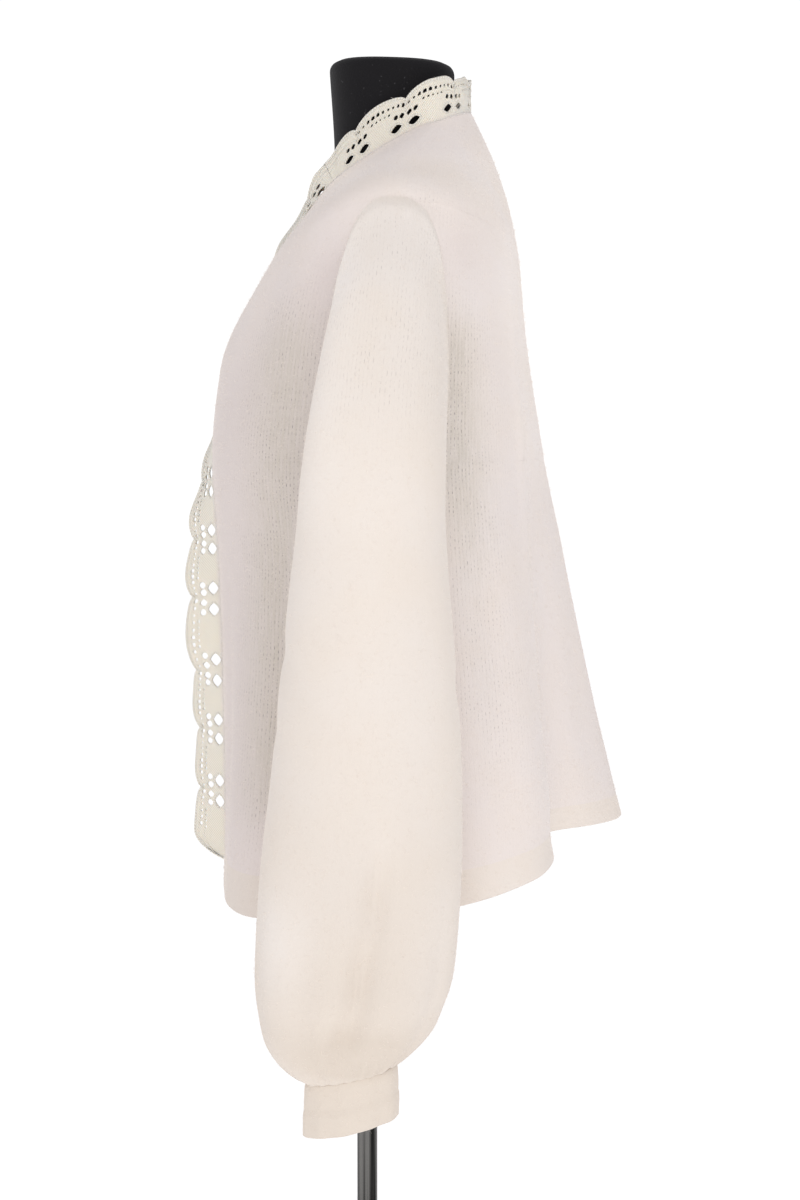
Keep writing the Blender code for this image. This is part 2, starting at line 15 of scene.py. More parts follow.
import bpy
import numpy as np
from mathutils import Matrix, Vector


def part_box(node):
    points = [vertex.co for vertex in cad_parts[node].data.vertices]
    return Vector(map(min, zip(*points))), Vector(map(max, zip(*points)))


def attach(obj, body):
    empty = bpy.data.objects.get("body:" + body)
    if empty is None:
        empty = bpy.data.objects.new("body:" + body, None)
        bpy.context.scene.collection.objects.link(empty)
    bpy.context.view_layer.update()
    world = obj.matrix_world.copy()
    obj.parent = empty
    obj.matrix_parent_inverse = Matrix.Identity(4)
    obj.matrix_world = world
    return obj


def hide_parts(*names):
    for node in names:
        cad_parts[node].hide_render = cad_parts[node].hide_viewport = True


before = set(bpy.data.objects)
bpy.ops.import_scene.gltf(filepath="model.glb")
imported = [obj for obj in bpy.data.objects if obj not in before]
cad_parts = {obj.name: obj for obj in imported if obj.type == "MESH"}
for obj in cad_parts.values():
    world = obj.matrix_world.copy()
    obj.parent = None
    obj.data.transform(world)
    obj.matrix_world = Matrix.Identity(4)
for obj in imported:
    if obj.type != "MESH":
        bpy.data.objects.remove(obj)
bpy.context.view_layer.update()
LOG = logging.getLogger("cardigan")

Array = np.ndarray
Table = dict[str, Array]
Piece = bpy.types.Object
Material = bpy.types.Material
NodeTree = bpy.types.NodeTree
Node = bpy.types.Node
Point = tuple[float, float, float]
UP = np.array([0.0, 0.0, 1.0])
LEVEL = np.array([1.0, 1.0, 0.0])


class Hand(Enum):
    """Side of the wearer, as the sign of X."""

    LEFT = 1.0
    RIGHT = -1.0

    @property
    def word(self) -> str:
        """The side as it stands in the names of pieces."""
        return self.name.lower()


class Panel(Enum):
    """Panels of the body, named as their solids."""

    LEFT_FRONT = "left_front"
    RIGHT_FRONT = "right_front"
    BACK = "back"


class Slot(Enum):
    """Material slots of the record."""

    KNIT = "ivory_knit"
    CROCHET = "cream_crochet"
    JERSEY = "black_jersey"
    STEEL = "steel"


def table(columns: str, rows: list[tuple[float, ...]]) -> Table:
    """A dataclass field that holds a short table as arrays, by the names of its columns."""
    return field(default_factory=lambda: dict(zip(columns.split(), np.array(rows, float).T)))


def linear(hex_colour: str) -> tuple[float, float, float, float]:
    """An sRGB hex colour as linear red, green, blue and alpha.

    Args:
        hex_colour: the colour as #RRGGBB.

    Returns:
        Four linear values, with full alpha.
    """
    coded = np.array([int(hex_colour[i:i + 2], 16) for i in (1, 3, 5)]) / 255.0
    flat = np.where(coded <= 0.04045, coded / 12.92, ((coded + 0.055) / 1.055) ** 2.4)
    return (float(flat[0]), float(flat[1]), float(flat[2]), 1.0)


def unit(vectors: Array) -> Array:
    """The vectors at length one."""
    return vectors / np.maximum(np.linalg.norm(vectors, axis=-1, keepdims=True), 1e-12)


def apart(angle: Array, centre: float | Array) -> Array:
    """Difference of two angles in degrees, the short way round."""
    return (angle - centre + 180.0) % 360.0 - 180.0


def cubic(t: Array, start: Array, leave: Array, end: Array, arrive: Array) -> Array:
    """A cubic from a start to an end as t goes from 0 to 1, with its slopes at both."""
    return (start * (1.0 + 2.0 * t) * (1.0 - t) ** 2 + leave * t * (1.0 - t) ** 2
            + end * t * t * (3.0 - 2.0 * t) + arrive * t * t * (t - 1.0))


def smooth(places: Array, values: Array, at: Array | float) -> Array:
    """A cubic through points that keeps their rises and falls.

    The slope at an inner point is the harmonic mean of the slopes beside it, or 0 at a turning point.

    Args:
        places: rising places of the points.
        values: values at those places.
        at: places to read.

    Returns:
        Values at the places asked for.
    """
    at = np.asarray(at, float)
    step = np.diff(places)
    rise = np.diff(values) / step
    same = rise[1:] * rise[:-1] > 0.0
    total = np.where(same, rise[1:] + rise[:-1], 1.0)
    inner = np.where(same, 2.0 * rise[1:] * rise[:-1] / total, 0.0)
    slope = np.concatenate([rise[:1], inner, rise[-1:]])
    low = np.clip(np.searchsorted(places, at) - 1, 0, len(step) - 1)
    t = np.clip((at - places[low]) / step[low], 0.0, 1.0)
    return cubic(t, values[low], step[low] * slope[low], values[low + 1], step[low] * slope[low + 1])


def ease_step(low: float, high: float, at: Array) -> Array:
    """A soft step from 0 at low to 1 at high: 3t squared less 2t cubed."""
    t = np.clip((at - low) / (high - low), 0.0, 1.0)
    return t * t * (3.0 - 2.0 * t)


def window(at: Array, rise: tuple[float, float], fall: tuple[float, float]) -> Array:
    """A stretch of 1 with soft ends: a step up over the rise and a step down over the fall."""
    return ease_step(*rise, at) * (1.0 - ease_step(*fall, at))


def bell(away: Array, half: float | Array) -> Array:
    """A bell of a distance: e to the power of minus the square of the distance over the half width."""
    return np.exp(-(away / half) ** 2)


def joined(*parts: Array | float) -> Array:
    """Coordinates of points, brought to one shape and joined along a last axis."""
    return np.stack(np.broadcast_arrays(*parts), axis=-1)


def read_rows(rows: Table, at: Array | float) -> Table:
    """Columns of a table, read smoothly at places counted in its rows."""
    counted = np.arange(len(next(iter(rows.values()))), dtype=float)
    return {name: smooth(counted, values, at) for name, values in rows.items()}


def ring_turns(columns: int) -> Array:
    """Even turns round a ring in radians, from 0."""
    return 2.0 * math.pi * np.arange(columns) / columns


def lathe(radius: Array, height: Array | float, steps: int) -> Array:
    """Rings round the Z axis, one for each radius and height of a profile."""
    turn = ring_turns(steps)
    return joined(radius * np.cos(turn), radius * np.sin(turn), height)


def oval(angle: Array, front_y: Array, front_z: Array, side_x: Array, side_y: Array, side_z: Array,
         back_y: Array, back_z: Array, bend: float | Array = 2.0) -> Array:
    """An oval ring through a front, a side and a back point.

    x is side_x times the sine of the angle, y runs from side_y to the front or back by its cosine, and z
    by the cosine to the power bend, so a bend of 1 keeps the ring flat.

    Args:
        angle: angles in degrees from the front.
        front_y, front_z, side_x, side_y, side_z, back_y, back_z: the three points.
        bend: power of the cosine in the height.

    Returns:
        Points of the ring.
    """
    turn = np.radians(angle)
    cosine = np.cos(turn)
    ahead = cosine > 0.0
    y = side_y - np.where(ahead, side_y - front_y, back_y - side_y) * cosine
    z = side_z + np.where(ahead, front_z - side_z, back_z - side_z) * np.abs(cosine) ** bend
    return joined(side_x * np.sin(turn), y, z)


def travel(points: Array, axis: int = 1) -> Array:
    """Length travelled along one axis of a grid of points, from 0."""
    run = np.cumsum(np.linalg.norm(np.diff(points, axis=axis), axis=-1), axis=axis)
    return np.concatenate([0.0 * run.take([0], axis), run], axis=axis)


def grid_normals(points: Array, closed: bool) -> Array:
    """Normals of a grid: the way along its rows crossed with the way from row to row.

    Args:
        points: grid of points, rows by columns by three.
        closed: whether the last column joins the first.

    Returns:
        Unit normals on the same grid.
    """
    if closed:
        along = np.roll(points, -1, axis=1) - np.roll(points, 1, axis=1)
    else:
        along = np.gradient(points, axis=1)
    return unit(np.cross(along, np.gradient(points, axis=0)))


def grid_cells(rows: int, columns: int, closed: bool) -> tuple[Array, Array]:
    """Four-sided cells of a grid.

    Args:
        rows: rows of points.
        columns: columns of points.
        closed: whether the last column joins the first.

    Returns:
        Cells as places in a chart, which has one more column where the grid is closed, and the point of
        each place in the chart.
    """
    across = columns + 1 if closed else columns
    chart = np.arange(rows * across).reshape(rows, across)
    cells = np.stack([chart[:-1, :-1], chart[:-1, 1:], chart[1:, 1:], chart[1:, :-1]], axis=-1)
    point = (chart // across) * columns + (chart % across) % columns
    return cells.reshape(-1, 4), point.ravel()


@dataclass
class Draft:
    """A mesh in the making: points, faces, UV maps by corner and values by point."""

    points: Array
    quads: Array
    triangles: Array = field(default_factory=lambda: np.zeros((0, 3), int))
    maps: dict[str, Array] = field(default_factory=dict)
    values: dict[str, Array] = field(default_factory=dict)
    normals: Array | None = None

    def mirrored(self) -> "Draft":
        """The mirror image in X, with every face turned round so that it still points outward.

        Returns:
            A new draft with the same values.
        """
        flip = np.array([-1.0, 1.0, 1.0])
        cut = 4 * len(self.quads)
        maps = {name: np.concatenate([uv[:cut].reshape(-1, 4, 2)[:, ::-1].reshape(-1, 2),
                                      uv[cut:].reshape(-1, 3, 2)[:, ::-1].reshape(-1, 2)])
                for name, uv in self.maps.items()}
        normals = None if self.normals is None else self.normals * flip
        return Draft(self.points * flip, self.quads[:, ::-1], self.triangles[:, ::-1], maps, self.values,
                     normals)

    def build(self, name: str, material: Material) -> Piece:
        """Puts the draft into a mesh object at the origin.

        Args:
            name: name of the piece.
            material: its finish.

        Returns:
            The new piece, not yet riding on a body.
        """
        mesh = bpy.data.meshes.new(name)
        corners = np.concatenate([self.quads.ravel(), self.triangles.ravel()]).astype(np.int32)
        starts = np.concatenate([4 * np.arange(len(self.quads)),
                                 4 * len(self.quads) + 3 * np.arange(len(self.triangles))])
        mesh.vertices.add(len(self.points))
        mesh.vertices.foreach_set("co", self.points.astype(np.float32).ravel())
        mesh.loops.add(len(corners))
        mesh.loops.foreach_set("vertex_index", corners)
        mesh.polygons.add(len(starts))
        mesh.polygons.foreach_set("loop_start", starts.astype(np.int32))
        mesh.polygons.foreach_set("use_smooth", np.ones(len(starts), bool))
        for title, uv in self.maps.items():
            layer = mesh.uv_layers.new(name=title)
            layer.data.foreach_set("uv", uv.astype(np.float32).ravel())
        for title, value in self.values.items():
            store = mesh.attributes.new(title, "FLOAT", "POINT")
            store.data.foreach_set("value", value.astype(np.float32).ravel())
        mesh.update(calc_edges=True)
        if self.normals is not None:
            mesh.normals_split_custom_set_from_vertices(self.normals.astype(np.float32))
        mesh.materials.append(material)
        piece = bpy.data.objects.new(name, mesh)
        bpy.context.scene.collection.objects.link(piece)
        LOG.info("%s: %d points, %d faces", name, len(self.points), len(starts))
        return piece


def shell(outer: Array, inner: Array, closed: bool, swell: float, chart: Array, looks: Table) -> Draft:
    """A closed wall between an outer and an inner grid, with rounded rims along its open edges.

    Each rim has a middle line that stands out from the wall's middle by swell.

    Args:
        outer, inner: grids of points of the two faces.
        closed: whether the last column joins the first.
        swell: how far a rim bulges, in metres.
        chart: places on the cloth in metres, with one more column where the grid is closed.
        looks: values on the outer grid, by name.

    Returns:
        The draft, with the UV map Knit and the values by point.
    """
    rows, columns = outer.shape[:2]
    cells, point = grid_cells(rows, columns, closed)
    places = np.arange(len(point)).reshape(rows, -1)
    if closed:
        loops = [places[0], places[-1, ::-1]]
    else:
        loops = [np.concatenate([places[0], places[1:, -1], places[-1, -2::-1], places[-2::-1, 0]])]
    count = rows * columns
    out, into = outer.reshape(-1, 3), inner.reshape(-1, 3)
    normals = [grid_normals(outer, closed).reshape(-1, 3), -grid_normals(inner, closed).reshape(-1, 3)]
    points, quads = [out, into], [point[cells], point[cells][:, ::-1] + count]
    charts, source = [cells, cells[:, ::-1]], [np.arange(count), np.arange(count)]
    start = 2 * count
    for loop in loops:
        edge = point[loop[:-1]]
        along = np.roll(out[edge], -1, axis=0) - np.roll(out[edge], 1, axis=0)
        away = unit(np.cross(into[edge] - out[edge], along))
        points.append(0.5 * (out[edge] + into[edge]) + swell * away)
        normals.append(away)
        source.append(edge)
        here = np.arange(len(edge))
        after = np.roll(here, -1)
        following = np.roll(edge, -1)
        quads.append(np.stack([edge, start + here, start + after, following], axis=-1))
        quads.append(np.stack([start + here, edge + count, following + count, start + after], axis=-1))
        ends = np.stack([loop[:-1], loop[:-1], loop[1:], loop[1:]], axis=-1)
        charts += [ends, ends]
        start += len(edge)
    kept = np.concatenate(source)
    return Draft(np.concatenate(points), np.concatenate(quads),
                 maps={"Knit": chart.reshape(-1, 2)[np.concatenate(charts).ravel()]},
                 values={name: value.ravel()[kept] for name, value in looks.items()},
                 normals=np.concatenate(normals))


def capped(rings: Array, below: Array, above: Array) -> Draft:
    """A closed body through rings, with a fan of triangles onto a middle point at each end.

    Args:
        rings: closed rings of points, from the lowest to the highest.
        below: middle point of the lower end.
        above: middle point of the upper end.

    Returns:
        The draft.
    """
    count, columns = rings.size // 3, rings.shape[1]
    cells, point = grid_cells(len(rings), columns, True)
    here = np.arange(columns)
    after = np.roll(here, -1)
    low = np.stack([after, here, np.full_like(here, count)], axis=-1)
    high = np.stack([here, after, np.full_like(here, columns + 1)], axis=-1) + count - columns
    points = np.concatenate([rings.reshape(-1, 3), [below, above]])
    return Draft(points, point[cells], np.concatenate([low, high]))


def feed(node: Node, feeds: dict) -> None:
    """Links or sets a node's inputs.

    Args:
        node: the node that is fed.
        feeds: for an input's name or number, the node or socket that feeds it, or its value.
    """
    for place, value in feeds.items():
        source = value.outputs[0] if isinstance(value, Node) else value
        if isinstance(source, bpy.types.NodeSocket):
            node.id_data.links.new(source, node.inputs[place])
        else:
            node.inputs[place].default_value = source


def add_node(tree: NodeTree, kind: str, feeds: dict | None = None, **settings) -> Node:
    """Adds a shader node with its settings, values and links.

    Args:
        tree: node tree that gets the node.
        kind: the node's type, without the word that all shader nodes begin with.
        feeds: for an input's name or number, the node or socket that feeds it, or its value.
        settings: attributes of the node.

    Returns:
        The new node.
    """
    node = tree.nodes.new("ShaderNode" + kind)
    for name, value in settings.items():
        setattr(node, name, value)
    feed(node, feeds or {})
    return node


def blank_material(name: str) -> tuple[Material, Callable[..., Node], Node]:
    """A new material with a Principled shader alone.

    Args:
        name: name of the material.

    Returns:
        The material, the function that adds a node to its tree, and its shader.
    """
    material = bpy.data.materials.new(name)
    material.use_nodes = True
    tree = material.node_tree
    return material, partial(add_node, tree), tree.nodes["Principled BSDF"]


@dataclass(frozen=True)
class KnitFinish:
    """Mohair stockinette: brushed yarn in columns of V stitches, matt, matted over by its own hairs.

    The gaps between the columns of stitches, the wales, show as broken fine lines where the cloth is
    drawn over the dark form, and a beige painted shade in streaks darkens the places where they show
    most. Elsewhere the nap hides the stitches and leaves a soft grain. Real wales are about 2 mm wide;
    they are drawn wider, so that they show.
    """

    title: str
    ivory: str = "#F8F1ED"
    warm: str = "#F8EFE7"
    lines: str = "#807678"
    # The greyer colour: the dark form seen through the cloth, and painted shade where its share is raised.
    over_form: str = "#DED4D1"
    # Beige painted shade, laid in streaks where the wales show most.
    haze: str = "#C9C2B5"
    haze_share: float = 0.72
    wale: float = 0.0034
    course: float = 0.0032
    slant: float = 0.8
    dash: float = 0.0026
    streak: Point = (560.0, 42.0, 1.0)
    patch: float = 0.022
    mottling: float = 0.05556
    depth: float = 0.0006
    strength: float = 0.45
    line_share: float = 0.95
    felt: float = 0.0016
    wander: float = 0.0012
    wander_size: float = 0.01818
    sheen: float = 0.45

    def material(self) -> Material:
        """Builds the material.

        Across a wale the cloth rises from its gap as a soft step; along it, slanted legs repeat at each
        course. The lines are the gaps between wales, broken into dashes by a noise of one cell for each
        wale and dash length, and thinned in patches. The point value open scales stitches and lines, and
        its square a beige painted shade in streaks; the point value backing mixes in the greyer colour, for
        the dark form seen through the cloth and for painted shade, and lowers it as painted light.

        Returns:
            The finished material, which reads the UV map Knit in metres.
        """
        material, add, shader = blank_material(self.title)
        place = add("TexCoord").outputs["Object"]
        uv = add("UVMap", uv_map="Knit")
        opened = add("Attribute", attribute_name="open").outputs["Fac"]
        backing = add("Attribute", attribute_name="backing").outputs["Fac"]
        drift = add("TexNoise", {"Vector": place, "Scale": 1.0 / self.wander_size, "Detail": 2.0})
        centred = add("VectorMath", {0: drift.outputs[1], 1: (0.5, 0.5, 0.5)}, operation="SUBTRACT")
        moved = add("VectorMath", {0: centred, "Scale": 2.0 * self.wander}, operation="SCALE")
        thread = add("VectorMath", {0: uv, 1: moved}, operation="ADD")
        parts = add("SeparateXYZ", {0: thread})
        wales = add("Math", {0: parts, 1: 1.0 / self.wale}, operation="MULTIPLY")
        across = add("Math", {0: wales, 1: 0.5}, operation="PINGPONG")
        courses = add("Math", {0: parts.outputs[1], 1: 1.0 / self.course}, operation="MULTIPLY")
        lean = add("Math", {0: across, 1: -2.0 * self.slant, 2: courses}, operation="MULTIPLY_ADD")
        leg = add("Math", {0: lean, 1: 0.5}, operation="PINGPONG")
        rib = add("MapRange", {0: across, 1: 0.0, 2: 0.22, 3: 0.0, 4: 1.0}, interpolation_type="SMOOTHSTEP")
        loop = add("MapRange", {0: leg, 1: 0.0, 2: 0.5, 3: 0.5, 4: 1.0}, interpolation_type="SMOOTHSTEP")
        stitch = add("Math", {0: rib, 1: loop}, operation="MULTIPLY")
        shown = add("Math", {0: stitch, 1: opened}, operation="MULTIPLY")
        felt = add("TexNoise", {"Vector": place, "Scale": 1.0 / self.felt, "Detail": 3.0, "Roughness": 0.6})
        height = add("Math", {0: felt, 1: 0.9, 2: shown}, operation="MULTIPLY_ADD")
        bump = add("Bump", {"Strength": self.strength, "Distance": self.depth, "Height": height})

        cells = add("Mapping", {"Vector": thread, "Scale": (1.0 / self.wale, 1.0 / self.dash, 1.0)})
        dashes = add("TexNoise", {"Vector": cells, "Scale": 1.0, "Detail": 1.5})
        broken = add("MapRange", {0: dashes, 1: 0.48, 2: 0.62, 3: 0.0, 4: 1.0})
        thinned = add("TexNoise", {"Vector": uv, "Scale": 1.0 / self.patch, "Detail": 2.0})
        worn = add("MapRange", {0: thinned, 1: 0.38, 2: 0.6, 3: 0.15, 4: 1.0})
        gap = add("MapRange", {0: across, 1: 0.02, 2: 0.12, 3: self.line_share, 4: 0.0})
        bare = add("Math", {0: gap, 1: worn}, operation="MULTIPLY")
        seen = add("Math", {0: bare, 1: opened}, operation="MULTIPLY")
        lines = add("Math", {0: seen, 1: broken}, operation="MULTIPLY")

        clouds = add("TexNoise", {"Vector": place, "Scale": 1.0 / self.mottling, "Detail": 3.0})
        mottle = add("MapRange", {0: clouds, 1: 0.35, 2: 0.65, 3: 0.0, 4: 1.0})
        fibre = add("Mapping", {"Vector": uv, "Scale": self.streak})
        streaks = add("TexNoise", {"Vector": fibre, "Scale": 1.0, "Detail": 2.0})
        # Painted shade: streaks of the beige (thin), masked by the square of open (steep), make drawn.
        thin = add("MapRange", {0: streaks, 1: 0.32, 2: 0.68, 3: 0.5 * self.haze_share, 4: self.haze_share})
        steep = add("Math", {0: opened, 1: opened}, operation="MULTIPLY")
        drawn = add("Math", {0: thin, 1: steep}, operation="MULTIPLY")
        # Mixed in turn: random warm mottling; the grey of the form seen through, with painted light and
        # shade; the beige painted shade; the wale lines.
        colour = linear(self.ivory)
        for share, mixed in ((mottle, self.warm), (backing, self.over_form), (drawn, self.haze),
                             (lines, self.lines)):
            colour = add("Mix", {0: share, 6: colour, 7: linear(mixed)}, data_type="RGBA").outputs[2]
        feed(shader, {"Base Color": colour, "Normal": bump, "Roughness": 0.95, "Specular IOR Level": 0.2,
                      "Sheen Weight": self.sheen, "Sheen Roughness": 0.45, "Sheen Tint": linear("#FFF8F2")})
        return material


@dataclass(frozen=True)
class HaloFinish:
    """Loose mohair fibres over the knit: pale, matt hairs that catch light along the outline."""

    title: str = "mohair_halo"
    colour: str = "#F3EAE1"

    def material(self) -> Material:
        """Builds the material; the hairs are too thin to carry a pattern."""
        material, _, shader = blank_material(self.title)
        feed(shader, {"Base Color": linear(self.colour), "Roughness": 0.9, "Specular IOR Level": 0.2,
                      "Sheen Weight": 0.4})
        return material


@dataclass(frozen=True)
class YarnFinish:
    """Crochet yarn of cream wool: two plies that wind round each other, matt and a little fuzzy."""

    title: str = "cream_crochet_yarn"
    cream: str = "#F5F0E4"
    # Darker colour in the grooves between the plies: painted shade.
    groove: str = "#DFD6C4"
    root: str = "#EAE0DA"
    lay: float = 0.0024
    fuzz: float = 0.001111
    glow: Point = (1.0, 0.85, 0.7)
    glow_depth: float = 0.0015
    depth: float = 0.0003

    def material(self) -> Material:
        """Builds the material.

        The grooves between the plies run slantwise: a wave of the length along the yarn over the ply's
        lay plus the share of a turn round it. The point value root mixes in the colour of the cloth that
        the edging is worked onto.

        Returns:
            The finished material, which reads the UV map Yarn: metres along and turns round.
        """
        material, add, shader = blank_material(self.title)
        place = add("TexCoord").outputs["Object"]
        parts = add("SeparateXYZ", {0: add("UVMap", uv_map="Yarn")})
        turns = add("Math", {0: parts, 1: 1.0 / self.lay, 2: parts.outputs[1]}, operation="MULTIPLY_ADD")
        wave = add("Math", {0: turns, 1: 0.5}, operation="PINGPONG")
        ply = add("MapRange", {0: wave, 1: 0.0, 2: 0.3, 3: 0.0, 4: 1.0}, interpolation_type="SMOOTHSTEP")
        fuzz = add("TexNoise", {"Vector": place, "Scale": 1.0 / self.fuzz, "Detail": 2.0})
        height = add("Math", {0: fuzz, 1: 0.8, 2: ply}, operation="MULTIPLY_ADD")
        bump = add("Bump", {"Strength": 0.7, "Distance": self.depth, "Height": height})
        rooted = add("Attribute", attribute_name="root").outputs["Fac"]
        # Painted shade: the yarn is darker in the grooves between the plies and cream on them.
        colour = linear(self.groove)
        for share, mixed in ((ply, self.cream), (rooted, self.root)):
            colour = add("Mix", {0: share, 6: colour, 7: linear(mixed)}, data_type="RGBA").outputs[2]
        feed(shader, {"Base Color": colour, "Normal": bump, "Subsurface Weight": 0.3,
                      "Subsurface Radius": self.glow, "Subsurface Scale": self.glow_depth,
                      "Roughness": 0.92, "Specular IOR Level": 0.2, "Sheen Weight": 0.3})
        return material


@dataclass(frozen=True)
class JerseyFinish:
    """Black cotton jersey drawn over a form: matt, close knit, with a little pale lint."""

    title: str = "black_cotton_jersey"
    black: str = "#0F0E11"
    worn: str = "#161518"
    lint: str = "#4A494C"
    pitch: float = 0.0014
    cloud: float = 0.04
    speck: float = 0.002381

    def material(self) -> Material:
        """Builds the material.

        The real stitches are about 0.8 mm wide, too fine to show, so they are drawn at the pitch given.
        Lint is the peaks of a fine noise.

        Returns:
            The finished material.
        """
        material, add, shader = blank_material(self.title)
        place = add("TexCoord").outputs["Object"]
        clouds = add("TexNoise", {"Vector": place, "Scale": 1.0 / self.cloud, "Detail": 3.0})
        specks = add("TexNoise", {"Vector": place, "Scale": 1.0 / self.speck, "Detail": 1.0})
        linted = add("MapRange", {0: specks, 1: 0.72, 2: 0.8, 3: 0.0, 4: 0.7})
        colour = linear(self.black)
        for share, mixed in ((clouds, self.worn), (linted, self.lint)):
            colour = add("Mix", {0: share, 6: colour, 7: linear(mixed)}, data_type="RGBA").outputs[2]
        stitches = add("TexVoronoi", {"Vector": place, "Scale": 1.0 / self.pitch})
        bump = add("Bump", {"Strength": 0.35, "Distance": 0.0003, "Height": stitches}, invert=True)
        feed(shader, {"Base Color": colour, "Normal": bump, "Roughness": 0.85, "Specular IOR Level": 0.25,
                      "Sheen Weight": 0.05})
        return material


@dataclass(frozen=True)
class SteelFinish:
    """Steel tube and disc, ground and polished: dark grey; the tube's bright and dark streaks are painted
    reflections.
    """

    title: str
    bright: str = "#72716F"
    dark: str = "#161616"
    streak: Point = (230.0, 230.0, 2.0)

    def material(self) -> Material:
        """Builds the material: a noise drawn out by the streak scale mixes two greys and the roughness.

        On the tube it is drawn out upright, and its bright and dark bands are painted reflections.

        Returns:
            The finished material.
        """
        material, add, shader = blank_material(self.title)
        place = add("TexCoord").outputs["Object"]
        drawn = add("Mapping", {"Vector": place, "Scale": self.streak})
        streaks = add("TexNoise", {"Vector": drawn, "Scale": 1.0, "Detail": 3.0})
        share = add("MapRange", {0: streaks, 1: 0.36, 2: 0.66, 3: 0.0, 4: 1.0},
                    interpolation_type="SMOOTHSTEP")
        # On the tube the two greys make painted reflections; on the disc, an even grain.
        greys = {0: share, 6: linear(self.dark), 7: linear(self.bright)}
        rough = add("MapRange", {0: streaks, 1: 0.2, 2: 0.8, 3: 0.16, 4: 0.32})
        feed(shader, {"Base Color": add("Mix", greys, data_type="RGBA").outputs[2], "Roughness": rough,
                      "Metallic": 1.0})
        return material


@dataclass(frozen=True)
class FloorFinish:
    """Seamless paper of a studio: white, matt, lit until it nearly burns out."""

    title: str = "white_seamless_paper"
    white: str = "#FBFBFA"
    glow: float = 0.5

    def material(self) -> Material:
        """Builds the material."""
        material, _, shader = blank_material(self.title)
        feed(shader, {"Base Color": linear(self.white), "Roughness": 1.0, "Specular IOR Level": 0.0,
                      "Emission Color": linear("#FFFFFF"), "Emission Strength": self.glow})
        return material


@dataclass(frozen=True)
class Nap:
    """Halo of loose hairs over a cloth: thin bent blades that rise from the outer face.

    Real mohair hairs are about 0.04 mm thick; they are drawn wider, so that they show in the render.
    """

    per_cm2: float = 10.0
    shortest: float = 0.002
    longest: float = 0.0052
    width: float = 0.00016
    upright: float = 0.9
    flattest: float = 0.12
    sunk: float = 0.0004
    taper: float = 0.8

    def over(self, outer: Array, closed: bool, seed: int) -> Draft:
        """Scatters hairs over a grid of points.

        Cells are drawn by their area and each root lies at a random place within its cell. A hair leans
        by a random share of the normal and a random way along the cloth, and bends once half way up.

        Args:
            outer: grid of points of the cloth's outer face.
            closed: whether the last column joins the first.
            seed: start of the random numbers.

        Returns:
            A draft of the hairs.
        """
        draw = np.random.default_rng(seed)
        cells, point = grid_cells(outer.shape[0], outer.shape[1], closed)
        corners = outer.reshape(-1, 3)[point[cells]]
        faces = np.cross(corners[:, 2] - corners[:, 0], corners[:, 3] - corners[:, 1])
        area = 0.5 * np.linalg.norm(faces, axis=-1)
        count = int(self.per_cm2 * 1e4 * area.sum())
        cell = np.searchsorted(np.cumsum(area), draw.random(count) * area.sum()).clip(0, len(area) - 1)
        s, t = draw.random((2, count, 1))
        inside = corners[cell]
        root = ((inside[:, 0] * (1.0 - s) + inside[:, 1] * s) * (1.0 - t)
                + (inside[:, 3] * (1.0 - s) + inside[:, 2] * s) * t)
        normal = grid_normals(outer, closed).reshape(-1, 3)[point[cells[cell, 0]]]
        way = unit(np.cross(normal, draw.normal(size=(count, 3))))
        side = np.cross(normal, way)
        rise = self.upright * draw.random((count, 1)) ** 1.5 + self.flattest
        lean = unit(normal * rise + way)
        length = self.shortest + (self.longest - self.shortest) * draw.random((count, 1)) ** 2
        elbow = root + 0.5 * length * lean
        tip = elbow + 0.5 * length * unit(lean + 0.9 * side * draw.normal(size=(count, 1))
                                          + 0.25 * normal * draw.normal(size=(count, 1)))
        blade = 0.5 * self.width * unit(np.cross(lean, normal + 0.8 * draw.normal(size=(count, 3))))
        root = root - self.sunk * normal
        points = np.stack([root - blade, root + blade, elbow + self.taper * blade,
                           elbow - self.taper * blade, tip], axis=1)
        first = 5 * np.arange(count)[:, None]
        return Draft(points.reshape(-1, 3), first + np.array([0, 1, 2, 3]), first + np.array([3, 2, 4]))


def settle(piece: Piece, slot: Slot, *nodes: str) -> Piece:
    """Makes a piece ride on the one body and hides the solids that it stands for.

    Args:
        piece: the piece.
        slot: the record's material slot; not used.
        nodes: solids that the piece replaces.

    Returns:
        The same piece.
    """
    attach(piece, "root")
    if nodes:
        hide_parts(*nodes)
    return piece


@dataclass
class Workroom:
    """Materials and the nap that several pieces share."""

    knit: Material = field(default_factory=KnitFinish("mohair_stockinette").material)
    sleeve: Material = field(default_factory=KnitFinish(
        "brushed_mohair_sleeve", ivory="#FDF8F4", warm="#FCF5EE", over_form="#D9CEC2", haze_share=0.3,
        line_share=0.8, strength=0.35).material)
    hem: Material = field(default_factory=KnitFinish(
        "mohair_hem", ivory="#F8F1EA", warm="#F7EDE2", over_form="#DED4CC", line_share=0.4,
        strength=0.4).material)
    cuff: Material = field(default_factory=KnitFinish(
        "mohair_cuff", ivory="#F6EDE6", warm="#F4EBE1", over_form="#DDD2C5", course=0.0026, line_share=0.4,
        strength=0.4).material)
    halo: Material = field(default_factory=HaloFinish().material)
    yarn: Material = field(default_factory=YarnFinish().material)
    nap: Nap = Nap()

    def comb(self, name: str, outer: Array, closed: bool, seed: int, slot: Slot,
             hand: Hand = Hand.LEFT) -> Piece:
        """Raises the halo of one cloth piece.

        Args:
            name: name of the cloth piece.
            outer: grid of points of its outer face.
            closed: whether the last column joins the first.
            seed: start of the random numbers.
            slot: the record's material slot.
            hand: the right side gets the mirror image.

        Returns:
            The piece of hairs.
        """
        draft = self.nap.over(outer, closed, seed)
        if hand is Hand.RIGHT:
            draft = draft.mirrored()
        return settle(draft.build(name + "_halo", self.halo), slot)


